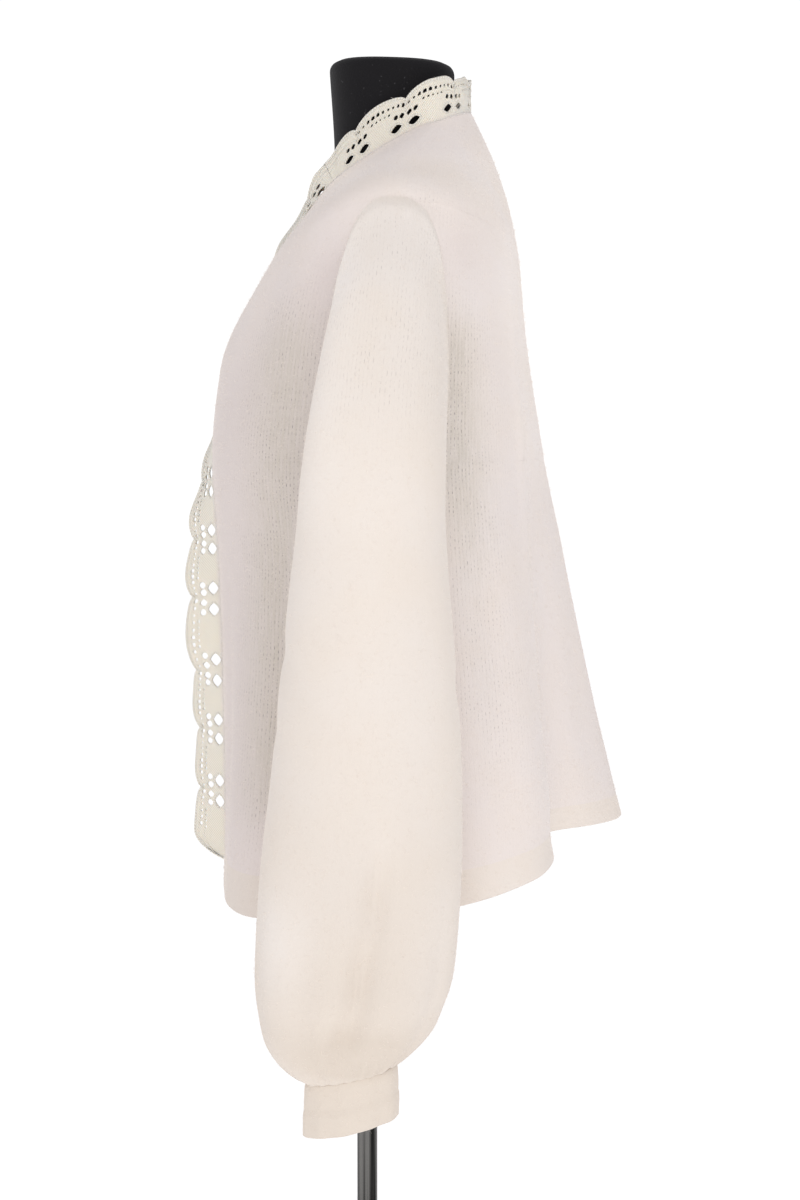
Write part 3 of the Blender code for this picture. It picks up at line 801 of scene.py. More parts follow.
@dataclass
class BodyCloth:
    """Fronts, back and hem bands: stretches of one surface of angles and levels."""

    wall: float = 0.0022
    band_wall: float = 0.0028
    hem_band: float = 0.024
    underarm: float = 4.0
    shoulder: float = 6.0
    neck: float = 8.0
    neck_middle_y: float = 0.02
    angle_step: float = 0.4
    level_step: float = 0.02
    armhole_front: float = 17.5
    armhole_back: float = 24.0
    armhole_square: float = 2.5
    armhole_lap: float = 0.965
    opening_top: float = 0.0355
    opening_hem: float = 0.0385
    lift_levels: float = 1.5
    front_columns: int = 46
    back_columns: int = 112
    rows_below: int = 66
    rows_beside: int = 56
    rows_above: int = 30
    band_rows: int = 8
    rim_swell: float = 0.35
    seam_sink: float = 0.00012
    sink_half: float = 0.0022
    seam_roll: float = 0.0002
    roll_place: float = 0.0055
    roll_half: float = 0.003
    uneven: float = 0.0004
    # Least grey share everywhere, from which painted light lowers the mix.
    thinnest: float = 0.33
    felt_share: float = 0.38
    faintest: float = 0.06
    hem_open: float = 0.5
    rings: Table = table("front_y front_z side_x side_y side_z back_y back_z bend", [
        (-0.108, 0.36, 0.204, 0.028, 0.36, 0.196, 0.36, 2.0),
        (-0.109, 0.43, 0.2005, 0.026, 0.43, 0.1835, 0.435, 2.0),
        (-0.111, 0.51, 0.196, 0.022, 0.51, 0.167, 0.515, 2.0),
        (-0.114, 0.59, 0.191, 0.017, 0.59, 0.15, 0.592, 2.0),
        (-0.118, 0.665, 0.186, 0.014, 0.665, 0.136, 0.665, 2.0),
        (-0.112, 0.735, 0.183, 0.015, 0.75, 0.124, 0.748, 2.0),
        (-0.083, 0.795, 0.172, 0.02, 0.853, 0.115, 0.83, 2.0),
        (-0.056, 0.836, 0.12, 0.025, 0.884, 0.0995, 0.888, 1.7),
        (-0.0348, 0.8694, 0.07, 0.048, 0.9143, 0.0805, 0.9284, 1.2),
    ])
    folds: Table = table("angle half_width depth start_z", [
        (153.0, 15.0, -0.052, 0.69), (186.0, 17.0, 0.007, 0.64), (214.0, 14.0, -0.034, 0.64),
        (238.0, 12.0, 0.004, 0.6), (131.0, 11.0, 0.002, 0.6), (96.0, 13.0, -0.004, 0.64),
        (264.0, 13.0, -0.004, 0.64), (62.0, 13.0, -0.01, 0.64), (38.0, 17.0, 0.021, 0.62),
        (299.0, 13.0, -0.012, 0.62), (322.0, 16.0, 0.016, 0.62),
    ])
    hem_lift: Table = table("angle lift", [
        (0.0, 0.007), (25.0, -0.008), (45.0, -0.018), (70.0, -0.014), (90.0, -0.008), (110.0, 0.002),
        (125.0, 0.012), (140.0, 0.022), (165.0, 0.028), (190.0, 0.028), (220.0, 0.019), (240.0, 0.007),
        (270.0, -0.007), (315.0, -0.015), (335.0, -0.007), (360.0, 0.007),
    ])
    swells: Table = table("angle half_width z half_height depth", [
        (38.0, 20.0, 0.672, 0.055, 0.004), (322.0, 20.0, 0.672, 0.055, 0.004),
        (345.0, 12.0, 0.805, 0.055, 0.001), (137.0, 13.0, 0.392, 0.024, -0.004),
        (172.0, 40.0, 0.6, 0.075, 0.0028),
    ])
    creases: Table = table("angle half_width low high depth lean", [
        (54.0, 5.0, 0.3, 0.66, -0.0035, 14.0), (28.0, 4.5, 0.3, 0.6, -0.0028, -12.0),
        (73.0, 4.5, 0.32, 0.61, 0.0022, 0.0), (44.0, 7.0, 0.69, 0.87, -0.0016, 60.0),
        (119.0, 6.0, 0.33, 0.72, -0.003, 8.0), (144.0, 2.6, 0.36, 0.85, 0.0024, 40.0),
        (171.0, 5.0, 0.3, 0.62, -0.0036, 6.0), (199.0, 6.0, 0.3, 0.6, 0.003, 0.0),
        (228.0, 5.0, 0.3, 0.58, -0.0034, -8.0), (249.0, 5.5, 0.32, 0.66, -0.0026, 0.0),
        (304.0, 5.0, 0.3, 0.63, -0.0032, -12.0), (331.0, 4.5, 0.3, 0.58, -0.0026, 10.0),
        (287.0, 4.5, 0.32, 0.6, 0.002, 0.0), (316.0, 7.0, 0.69, 0.87, -0.0016, -60.0),
    ])
    # Patches of painted light (share below 0) and painted shade (share above 0): degrees from the front,
    # half width, height, half height and share.
    tones: Table = table("from_front half_width z half_height share", [
        (30.0, 18.0, 0.775, 0.045, -0.323), (121.0, 12.0, 0.817, 0.03, 0.33),
        (72.0, 10.0, 0.795, 0.03, 0.33),
    ])

    @property
    def armhole_levels(self) -> tuple[float, float]:
        """Level of the armhole's middle, and half its height in levels."""
        return 0.5 * (self.underarm + self.shoulder), 0.5 * (self.shoulder - self.underarm)

    @property
    def band_level(self) -> float:
        """Level at which the hem bands end and the panels begin."""
        return self.hem_band / float(self.rings["side_z"][1] - self.rings["side_z"][0])

    def plain(self, angle: Array, level: Array) -> Array:
        """Points of the rings alone, with no fold, swelling or hem lift, at angles and levels."""
        angle, level = np.broadcast_arrays(np.asarray(angle, float), np.asarray(level, float))
        return oval(angle, **read_rows(self.rings, level))

    def surface(self, angle: Array, level: Array) -> Array:
        """Outer face of the cloth.

        The rings are lifted at the hem and then pushed out from the middle: each fold is a bell of the
        angle that grows downward to the power 1.2, each swelling a bell of angle and height, and each
        crease a bell of the angle round a leaning line, from 0 at its ends to its depth half way.

        Args:
            angle, level: angles in degrees, and levels of the rings table.

        Returns:
            Points of the surface.
        """
        angle, level = np.broadcast_arrays(np.asarray(angle, float), np.asarray(level, float))
        points = self.plain(angle, level)
        fade = np.clip(1.0 - level / self.lift_levels, 0.0, 1.0) ** 1.5
        points[..., 2] += fade * smooth(self.hem_lift["angle"], self.hem_lift["lift"], angle % 360.0)
        z = points[..., 2]
        push = np.zeros_like(z)
        for centre, half, depth, start in zip(*self.folds.values()):
            grown = np.clip((start - z) / (start - self.rings["side_z"][0]), 0.0, 1.1) ** 1.2
            push += depth * grown * bell(apart(angle, centre), half)
        for centre, half, middle, height, depth in zip(*self.swells.values()):
            push += depth * bell(apart(angle, centre), half) * bell(z - middle, height)
        for centre, half, low, high, depth, lean in zip(*self.creases.values()):
            share = np.clip((z - low) / (high - low), 0.0, 1.0)
            line = centre + lean * (z - 0.5 * (low + high))
            push += depth * np.sin(math.pi * share) * bell(apart(angle, line), half)
        turn = np.radians(angle)
        return points + push[..., None] * joined(np.sin(turn), -np.cos(turn), 0.0)

    def normal(self, angle: Array, level: Array, plain: bool = False) -> Array:
        """Outward normals of the surface, from its slopes round and upward.

        Args:
            angle, level: angles in degrees, and levels of the rings table.
            plain: whether they are those of the rings alone.

        Returns:
            Unit normals.
        """
        face = self.plain if plain else self.surface
        reach = np.clip(np.asarray(level, float), self.level_step, self.neck - self.level_step)
        around = face(angle + self.angle_step, level) - face(angle - self.angle_step, level)
        upward = face(angle, reach + self.level_step) - face(angle, reach - self.level_step)
        return unit(np.cross(around, upward))

    def opening_angle(self, level: Array) -> Array:
        """Angle of a front edge from the centre front, for a straight edge in the front view."""
        half = self.opening_hem + (self.opening_top - self.opening_hem) * np.asarray(level) / self.neck
        return np.degrees(np.arcsin(half / read_rows(self.rings, level)["side_x"]))

    def armhole_reach(self, level: Array, widest: float) -> Array:
        """How far a panel's edge lies from the side along the armhole.

        A squared oval of the level, drawn in a little so that the panel reaches under the sleeve.

        Args:
            level: levels of the rings table.
            widest: degrees between the side and the armhole's edge half way up.

        Returns:
            Degrees from the side.
        """
        middle, half = self.armhole_levels
        away = np.abs((level - middle) / (half * self.armhole_lap)) ** self.armhole_square
        return self.armhole_lap * widest * np.clip(1.0 - away, 0.0, 1.0) ** (1.0 / self.armhole_square)

    def squared(self, wave: Array) -> Array:
        """A sine or cosine reshaped so that the oval it draws is squarer than an ellipse."""
        return np.sign(wave) * np.abs(wave) ** (2.0 / self.armhole_square)

    def panel_levels(self) -> Array:
        """Levels of a panel's rows: closer at the hem's seam and at both ends of the armhole.

        Returns:
            Rising levels.
        """
        middle, half = self.armhole_levels
        half = self.armhole_lap * half
        low = np.linspace(self.band_level, middle - half, self.rows_below)
        beside = middle - half * self.squared(np.cos(math.pi * np.linspace(0.0, 1.0, self.rows_beside + 1)))
        above = np.linspace(middle + half, self.neck, self.rows_above + 1)
        seam = self.band_level + np.array([0.015, 0.035, 0.06])
        return np.unique(np.concatenate([low, seam, beside, above]).round(6))

    def angles(self, panel: Panel, levels: Array) -> Array:
        """Grid of angles of a panel, with columns closer together along its edges.

        Args:
            panel, levels: which panel, and the levels of its rows.

        Returns:
            Angles in degrees, a row for each level.
        """
        columns = self.back_columns if panel is Panel.BACK else self.front_columns
        fine = np.array([0.0, 0.2, 0.45, 0.75, 1.15]) / columns
        share = np.concatenate([fine, np.linspace(1.7 / columns, 1.0 - 1.7 / columns, columns),
                                1.0 - fine[::-1]])
        front = 90.0 - self.armhole_reach(levels, self.armhole_front)
        rear = 90.0 + self.armhole_reach(levels, self.armhole_back)
        edge = self.opening_angle(levels)
        first, last = {Panel.LEFT_FRONT: (edge, front), Panel.RIGHT_FRONT: (-front, -edge),
                       Panel.BACK: (rear, 360.0 - rear)}[panel]
        return first[:, None] * (1.0 - share) + last[:, None] * share

    def backing(self, from_front: Array, z: Array) -> Array:
        """How far the greyer colour mixes in: the dark form seen through, with painted light and shade.

        It shows through the fronts below the chest, less along the hem, and hardly through the back. It is
        lower in a narrow band beside the opening, a painted highlight. Painted light lowers it along the
        neckline, high on the back, low beside the sleeve and in the listed patches with a share below 0;
        the listed patches with a share above 0 raise it as painted shade.

        Args:
            from_front, z: degrees from the centre front, and heights.

        Returns:
            Shares of the greyer colour.
        """
        shown = 0.95 - 0.75 * ease_step(0.74, 0.86, z) - 0.8 * ease_step(80.0, 118.0, from_front)
        # A painted highlight: the grey mix drops in a narrow band beside the opening.
        shown = np.clip(shown - 0.5 * bell(from_front - 10.0, 8.0), 0.0, 1.0)
        shown = shown * (0.75 + 0.25 * ease_step(0.37, 0.44, z))
        # Painted light: lighter along the neckline, high on the back and low beside the sleeve, where shade
        # falls.
        felted = bell(z - 0.872, 0.016 + 0.012 * ease_step(110.0, 150.0, from_front))
        felted = felted + 0.8 * ease_step(135.0, 155.0, from_front) * window(z, (0.62, 0.7), (0.82, 0.85))
        felted = felted + 0.7 * bell(from_front - 74.0, 13.0) * window(z, (0.38, 0.42), (0.55, 0.68))
        mixed = self.thinnest + (1.0 - self.thinnest) * shown - self.felt_share * felted
        # Painted light where a patch's share is below 0, painted shade where it is above.
        for centre, half, middle, height, share in zip(*self.tones.values()):
            mixed = mixed + share * bell(from_front - centre, half) * bell(z - middle, height)
        return np.clip(mixed, 0.0, 1.0)

    def opened(self, from_front: Array, z: Array) -> Array:
        """How plainly the wales show; the knit also lays its beige painted shade by this.

        They show where the cloth is drawn tight before and behind the sleeve, from above the hem up to the
        chest, and a little at the back of the shoulder. Low down the band before the sleeve is narrower and
        nearer to the opening, and the one behind is fainter.

        Args:
            from_front, z: degrees from the centre front, and heights.

        Returns:
            Shares, 1 where they show fully.
        """
        low = 1.0 - ease_step(0.55, 0.68, z)
        beside = bell(from_front - 58.0 + 7.0 * low, 19.0 - 3.0 * low)
        beside = beside + (1.0 - 0.5 * low) * bell(from_front - 116.0, 16.0)
        behind = ease_step(80.0, 100.0, from_front)
        drawn = ease_step(0.0, 1.0, (z - 0.365 - 0.02 * behind) / (0.075 + 0.06 * behind))
        drawn = drawn * (1.0 - ease_step(0.74, 0.82, z))
        shoulder = 0.4 * bell(from_front - 106.0, 9.0) * bell(z - 0.842, 0.02)
        return np.clip(self.faintest + (1.0 - self.faintest) * beside * drawn + shoulder, 0.0, 1.0)

    def drape(self, panel: Panel, levels: Array) -> tuple[Array, Array, Array]:
        """Outer face of a panel or band: a little uneven, its seams sunk, with a low roll beside them.

        Args:
            panel, levels: which panel, and the levels of its rows.

        Returns:
            The grid of points, its normals and its angles.
        """
        angles = self.angles(panel, levels)
        outer = self.surface(angles, levels[:, None])
        normals = grid_normals(outer, False)
        run = travel(outer)
        sewn = []
        if panel is not Panel.LEFT_FRONT:
            sewn.append(run)
        if panel is not Panel.RIGHT_FRONT:
            sewn.append(run[:, -1:] - run)
        relief = self.uneven * np.sin(61.0 * run + 17.0 * outer[..., 2]) * np.sin(43.0 * outer[..., 2])
        for gap in sewn:
            relief = relief - self.seam_sink * bell(gap, self.sink_half)
            relief = relief + self.seam_roll * bell(gap - self.roll_place, self.roll_half)
        return outer + relief[..., None] * normals, normals, angles

    def chart(self, panel: Panel, outer: Array, levels: Array) -> Array:
        """Places on the cloth in metres: across from the front edge or the side, and up from its foot.

        On the back the wales keep the way of the plumb line at the nearer side, so both halves count from
        their own side, and the right half counts on from the left.

        Args:
            panel: which panel.
            outer: grid of points.
            levels: levels of its rows.

        Returns:
            Grid of two values.
        """
        run = travel(outer)
        if panel is Panel.LEFT_FRONT:
            across = run
        elif panel is Panel.RIGHT_FRONT:
            across = run - run[:, -1:]
        else:
            rear = self.armhole_reach(levels, self.armhole_back)[:, None]
            beside = self.surface(90.0 + rear * np.linspace(0.0, 1.0, 9), levels[:, None])
            lead = travel(beside)[:, -1:]
            whole = run[:, -1:]
            across = np.where(run < 0.5 * whole, lead + run, whole.mean() - lead - (whole - run))
        return joined(across, travel(outer, 0).mean(axis=1, keepdims=True))

    def build(self, room: Workroom) -> dict[str, Piece]:
        """Makes the fronts, the back and their hem bands, with their halos.

        Args:
            room: the shared materials.

        Returns:
            The pieces by name.
        """
        made = {}
        bands = np.linspace(0.0, self.band_level, self.band_rows)
        for seed, panel in enumerate(Panel):
            for levels, suffix, wall, finish in (
                    (self.panel_levels(), "", self.wall, room.knit),
                    (bands, "_hem", self.band_wall, room.hem)):
                name = panel.value + suffix
                outer, normals, angles = self.drape(panel, levels)
                seen = np.abs(apart(angles, 0.0)), outer[..., 2]
                plainly = self.hem_open if suffix else 1.0
                looks = {"backing": self.backing(*seen), "open": plainly * self.opened(*seen)}
                draft = shell(outer, outer - wall * normals, False, self.rim_swell * wall,
                              self.chart(panel, outer, levels), looks)
                made[name] = settle(draft.build(name + "_cloth", finish), Slot.KNIT, name)
                start = 11 + seed + 10 * len(suffix)
                made[name + "_halo"] = room.comb(name, outer, False, start, Slot.KNIT)
        return made


@dataclass
class Sleeves:
    """Both sleeves and cuffs: a tube from the armhole to the gathered wrist, and a band."""

    body: BodyCloth
    columns: int = 92
    bridge_rings: int = 44
    hanging_rings: int = 104
    cuff_rings: int = 15
    round_about: float = 0.336
    rim_swell: float = 0.4
    seam_sink: float = 0.00012
    sink_half: float = 0.0024
    cap_ridge: float = 0.0008
    ridge_place: float = 0.02
    ridge_half: float = 0.009
    pucker: float = 0.0003
    pucker_half: float = 0.012
    gathers: int = 21
    gather_depth: float = 0.0012
    gather_reach: float = 0.05
    ease_passes: int = 14
    cap_tilt: float = 26.0
    cap_blend: float = 0.08
    cuff_step: float = 0.0006
    cuff_groove: float = 0.0002
    groove_half: float = 0.05
    thinnest: float = 0.33
    wrist_grey: float = 0.35
    rings: Table = table("z y_front y_back x_in x_out slope", [
        (0.63, -0.043, 0.0565, 0.196, 0.285, 0.0), (0.59, -0.048, 0.059, 0.199, 0.29, 0.0),
        (0.512, -0.056, 0.0655, 0.204, 0.298, 0.0), (0.4575, -0.061, 0.068, 0.207, 0.304, 0.0),
        (0.409, -0.067, 0.068, 0.2095, 0.309, 0.0), (0.36, -0.071, 0.0655, 0.212, 0.313, 0.0),
        (0.324, -0.0725, 0.062, 0.2145, 0.313, 0.02), (0.303, -0.07, 0.0555, 0.2175, 0.3105, 0.05),
        (0.285, -0.066, 0.049, 0.222, 0.3045, 0.09), (0.27, -0.0545, 0.0375, 0.232, 0.2945, 0.15),
        (0.259, -0.0385, 0.0245, 0.2395, 0.2865, 0.21),
    ])
    cuff: Table = table("z y_front y_back x_in x_out slope", [
        (0.2587, -0.0385, 0.0245, 0.2395, 0.2865, 0.21), (0.2415, -0.039, 0.025, 0.239, 0.287, 0.215),
        (0.224, -0.039, 0.0245, 0.2395, 0.2865, 0.22),
    ])
    creases: Table = table("turn half_turn z half_z depth slant", [
        (-10.0, 8.0, 0.388, 0.036, -0.008, 0.0), (-4.0, 8.0, 0.328, 0.034, -0.0095, 0.0),
        (4.0, 9.0, 0.292, 0.017, -0.0075, 0.0), (30.0, 10.0, 0.315, 0.05, -0.0016, 0.0),
        (-58.0, 10.0, 0.325, 0.06, -0.0024, 0.0), (76.0, 11.0, 0.32, 0.055, -0.002, 0.0),
        (140.0, 12.0, 0.33, 0.06, -0.0026, 0.0), (205.0, 13.0, 0.325, 0.06, -0.0024, 0.0),
        (255.0, 11.0, 0.32, 0.05, -0.0018, 0.0), (95.0, 48.0, 0.548, 0.011, -0.0022, 0.0006),
        (118.0, 42.0, 0.505, 0.01, -0.002, 0.0004), (-110.0, 45.0, 0.53, 0.012, -0.002, -0.0005),
        (20.0, 26.0, 0.47, 0.06, 0.0014, 0.0), (-35.0, 20.0, 0.56, 0.09, -0.001, 0.0),
    ])
    # Patches of painted light on the sleeve: turn, its half width, height, its half height and how much
    # lighter.
    felted: Table = table("turn half_turn z half_z share", [
        (55.0, 32.0, 0.745, 0.11, 0.34), (55.0, 32.0, 0.352, 0.05, 0.33),
        (-58.0, 26.0, 0.352, 0.05, 0.2),
    ])

    def level_rings(self, rows: Table, at: Array) -> Array:
        """Tilted level ovals of a table, from their outermost point over the front.

        Args:
            rows: the table.
            at: places counted in its rows.

        Returns:
            Grid of points, a ring for each place.
        """
        read = read_rows(rows, at[:, None])
        turn = ring_turns(self.columns)
        y = -0.5 * (read["y_back"] - read["y_front"]) * np.sin(turn)
        x = 0.5 * (read["x_in"] + read["x_out"]) + 0.5 * (read["x_out"] - read["x_in"]) * np.cos(turn)
        middle = 0.5 * (read["y_front"] + read["y_back"])
        return joined(x, middle + y, read["z"] + read["slope"] * y)

    def armhole(self) -> tuple[Array, Array]:
        """The armhole's edge on the body cloth, from the shoulder over the front.

        Returns:
            Points of the edge, and the cloth's normals there.
        """
        body = self.body
        turn = ring_turns(self.columns)
        middle, half = body.armhole_levels
        level = middle + half * body.squared(np.cos(turn))
        widest = np.where(np.sin(turn) > 0.0, body.armhole_front, body.armhole_back)
        angle = 90.0 - widest * body.squared(np.sin(turn))
        return body.surface(angle, level), body.normal(angle, level)

    def plain_rings(self) -> Array:
        """The tube with no crease.

        A cubic bridge leaves the armhole along X, tilted down a little over the shoulder, and comes down
        vertically onto the first level ring. The level rings go on from it, and then each ring is eased a
        few times towards the mean of its neighbours.

        Returns:
            Grid of points, a ring for each row.
        """
        places = np.linspace(0.0, len(self.rings["z"]) - 1.0, self.hanging_rings)
        hanging = self.level_rings(self.rings, places)
        start = self.armhole()[0]
        reach = np.linalg.norm(hanging[0] - start, axis=-1, keepdims=True)
        tilt = math.radians(self.cap_tilt) * np.clip(np.cos(ring_turns(self.columns)), 0.0, 1.0)
        leave = reach * joined(np.cos(tilt), 0.0, -np.sin(tilt))
        arrive = -reach * UP
        near = np.array([0.0, 0.1, 0.25, 0.45, 0.7])
        t = np.concatenate([near, np.arange(1, self.bridge_rings)])[:, None, None] / self.bridge_rings
        rings = np.concatenate([cubic(t, start, leave, hanging[0], arrive), hanging])
        for _ in range(self.ease_passes):
            rings[8:-1] = 0.25 * rings[7:-2] + 0.5 * rings[8:-1] + 0.25 * rings[9:]
        return rings

    def relief(self, rings: Array) -> Array:
        """How far the tube's outer face stands out from its plain rings.

        The sum of listed creases, bells of turn and height round a slanting line; uneven gathers
        above the cuff that fade upward; a seam that is sunk at the armhole with a ridge beside it; and a
        few puckers over the cap.

        Args:
            rings: the plain rings.

        Returns:
            Heights on the same grid.
        """
        turn = ring_turns(self.columns)[None, :]
        z = rings[..., 2]
        height = np.zeros_like(z)
        for centre, half, middle, tall, depth, slant in zip(*self.creases.values()):
            away = apart(np.degrees(turn), centre)
            height += depth * bell(away, half) * bell(z - middle - slant * away, tall)
        down = travel(rings, 0)
        left = down[-1:] - down
        uneven = self.gathers * turn + 1.6 * np.sin(3.0 * turn + 0.7) + 0.9 * np.sin(7.0 * turn + 2.1)
        reach = self.gather_reach * (0.75 + 0.35 * np.sin(5.0 * turn + 0.4))
        fade = np.clip(1.0 - left / reach, 0.0, 1.0) ** 1.4 * (0.35 + 0.65 * ease_step(0.0, 0.008, left))
        height += self.gather_depth * fade * np.sin(uneven)
        height -= self.seam_sink * bell(down, self.sink_half)
        top = 0.55 + 0.45 * np.cos(turn)
        height += self.cap_ridge * top * bell(down - self.ridge_place, self.ridge_half)
        puckers = np.sin(19.0 * turn + 1.2 * np.sin(4.0 * turn))
        height += self.pucker * top ** 2 * puckers * bell(down - self.ridge_place, self.pucker_half)
        return height

    def cuff_band(self) -> tuple[Array, Array]:
        """The cuff: level rings, a little uneven, fuller below a shallow groove half way down.

        Returns:
            Grid of points, and the normals of the plain rings.
        """
        share = np.linspace(0.0, 1.0, self.cuff_rings)
        band = self.level_rings(self.cuff, 2.0 * share)
        normals = grid_normals(band, True)
        fold = self.cuff_step * (ease_step(0.48, 0.62, share) - bell(share, self.groove_half))
        fold = fold - self.cuff_groove * bell(share - 0.5, self.groove_half)
        turn = ring_turns(self.columns)
        uneven = 0.0006 * np.sin(5.0 * turn + 1.0) + 0.0004 * np.sin(11.0 * turn)
        push = fold[:, None] + uneven * (0.4 + 0.6 * share[:, None])
        return band + push[..., None] * normals, normals

    def chart(self, rings: Array) -> Array:
        """Places on the tube's cloth in metres, round it and down from the armhole."""
        columns = np.arange(self.columns + 1) * self.round_about / self.columns
        down = travel(rings, 0).mean(axis=1, keepdims=True)
        return joined(columns, -down)

    def look(self, rings: Array) -> Table:
        """How the knit looks: wales that show a little over the cap and hardly below it.

        The cloth is darker with painted shade below the cap, more towards the cuff and in a band just above
        it, and lighter with painted light in the listed patches.

        Args:
            rings: points of the outer face.

        Returns:
            Point values named backing and open.
        """
        z = rings[..., 2]
        turn = np.degrees(ring_turns(self.columns))[None, :]
        faint = 0.03 + 0.4 * window(z, (0.66, 0.74), (0.82, 0.86))
        # Painted shade: darker below the cap and more towards the cuff.
        grey = 0.33 * (1.0 - ease_step(0.7, 0.82, z)) + 0.4 * (1.0 - ease_step(0.3, 0.5, z))
        mixed = self.thinnest + (1.0 - self.thinnest) * grey
        # Painted shade in a band just above the cuff.
        wrist = bell(apart(turn, -10.0), 50.0) * window(z, (0.255, 0.272), (0.275, 0.31))
        mixed += self.wrist_grey * wrist
        # Painted light: lighter patches along the front edge and low down on both sides.
        for centre, half, middle, tall, share in zip(*self.felted.values()):
            mixed -= share * bell(apart(turn, centre), half) * bell(z - middle, tall)
        return {"backing": np.clip(mixed, 0.0, 1.0), "open": faint}

    def soften(self, normals: Array, plain: Array) -> Array:
        """Normals of the tube, turned over from those of the body cloth along the armhole.

        Args:
            normals: normals of the tube's outer face.
            plain: the plain rings.

        Returns:
            Unit normals on the same grid.
        """
        share = ease_step(0.0, self.cap_blend, travel(plain, 0))[..., None]
        return unit(self.armhole()[1][None] * (1.0 - share) + normals * share)

    def build(self, room: Workroom) -> dict[str, Piece]:
        """Makes both sleeves and both cuffs, with their halos.

        Args:
            room: the shared materials.

        Returns:
            The pieces by name.
        """
        plain = self.plain_rings()
        normals = grid_normals(plain, True)
        tube = plain + self.relief(plain)[..., None] * normals
        band, across = self.cuff_band()
        made = {}
        for hand in Hand:
            for kind, outer, normal, wall, finish, seed in (
                    ("_sleeve", tube, normals, self.body.wall, room.sleeve, 41),
                    ("_cuff", band, across, self.body.band_wall, room.cuff, 43)):
                name = hand.word + kind
                draft = shell(outer, outer - wall * normal, True, self.rim_swell * wall,
                              self.chart(outer), self.look(outer))
                if kind == "_sleeve":
                    count = outer.size // 3
                    shaded = self.soften(draft.normals[:count].reshape(outer.shape), plain)
                    draft.normals[:count] = shaded.reshape(-1, 3)
                if hand is Hand.RIGHT:
                    draft = draft.mirrored()
                made[name] = settle(draft.build(name + "_cloth", finish), Slot.KNIT, name)
                made[name + "_halo"] = room.comb(name, outer, True, seed, Slot.KNIT, hand)
        return made


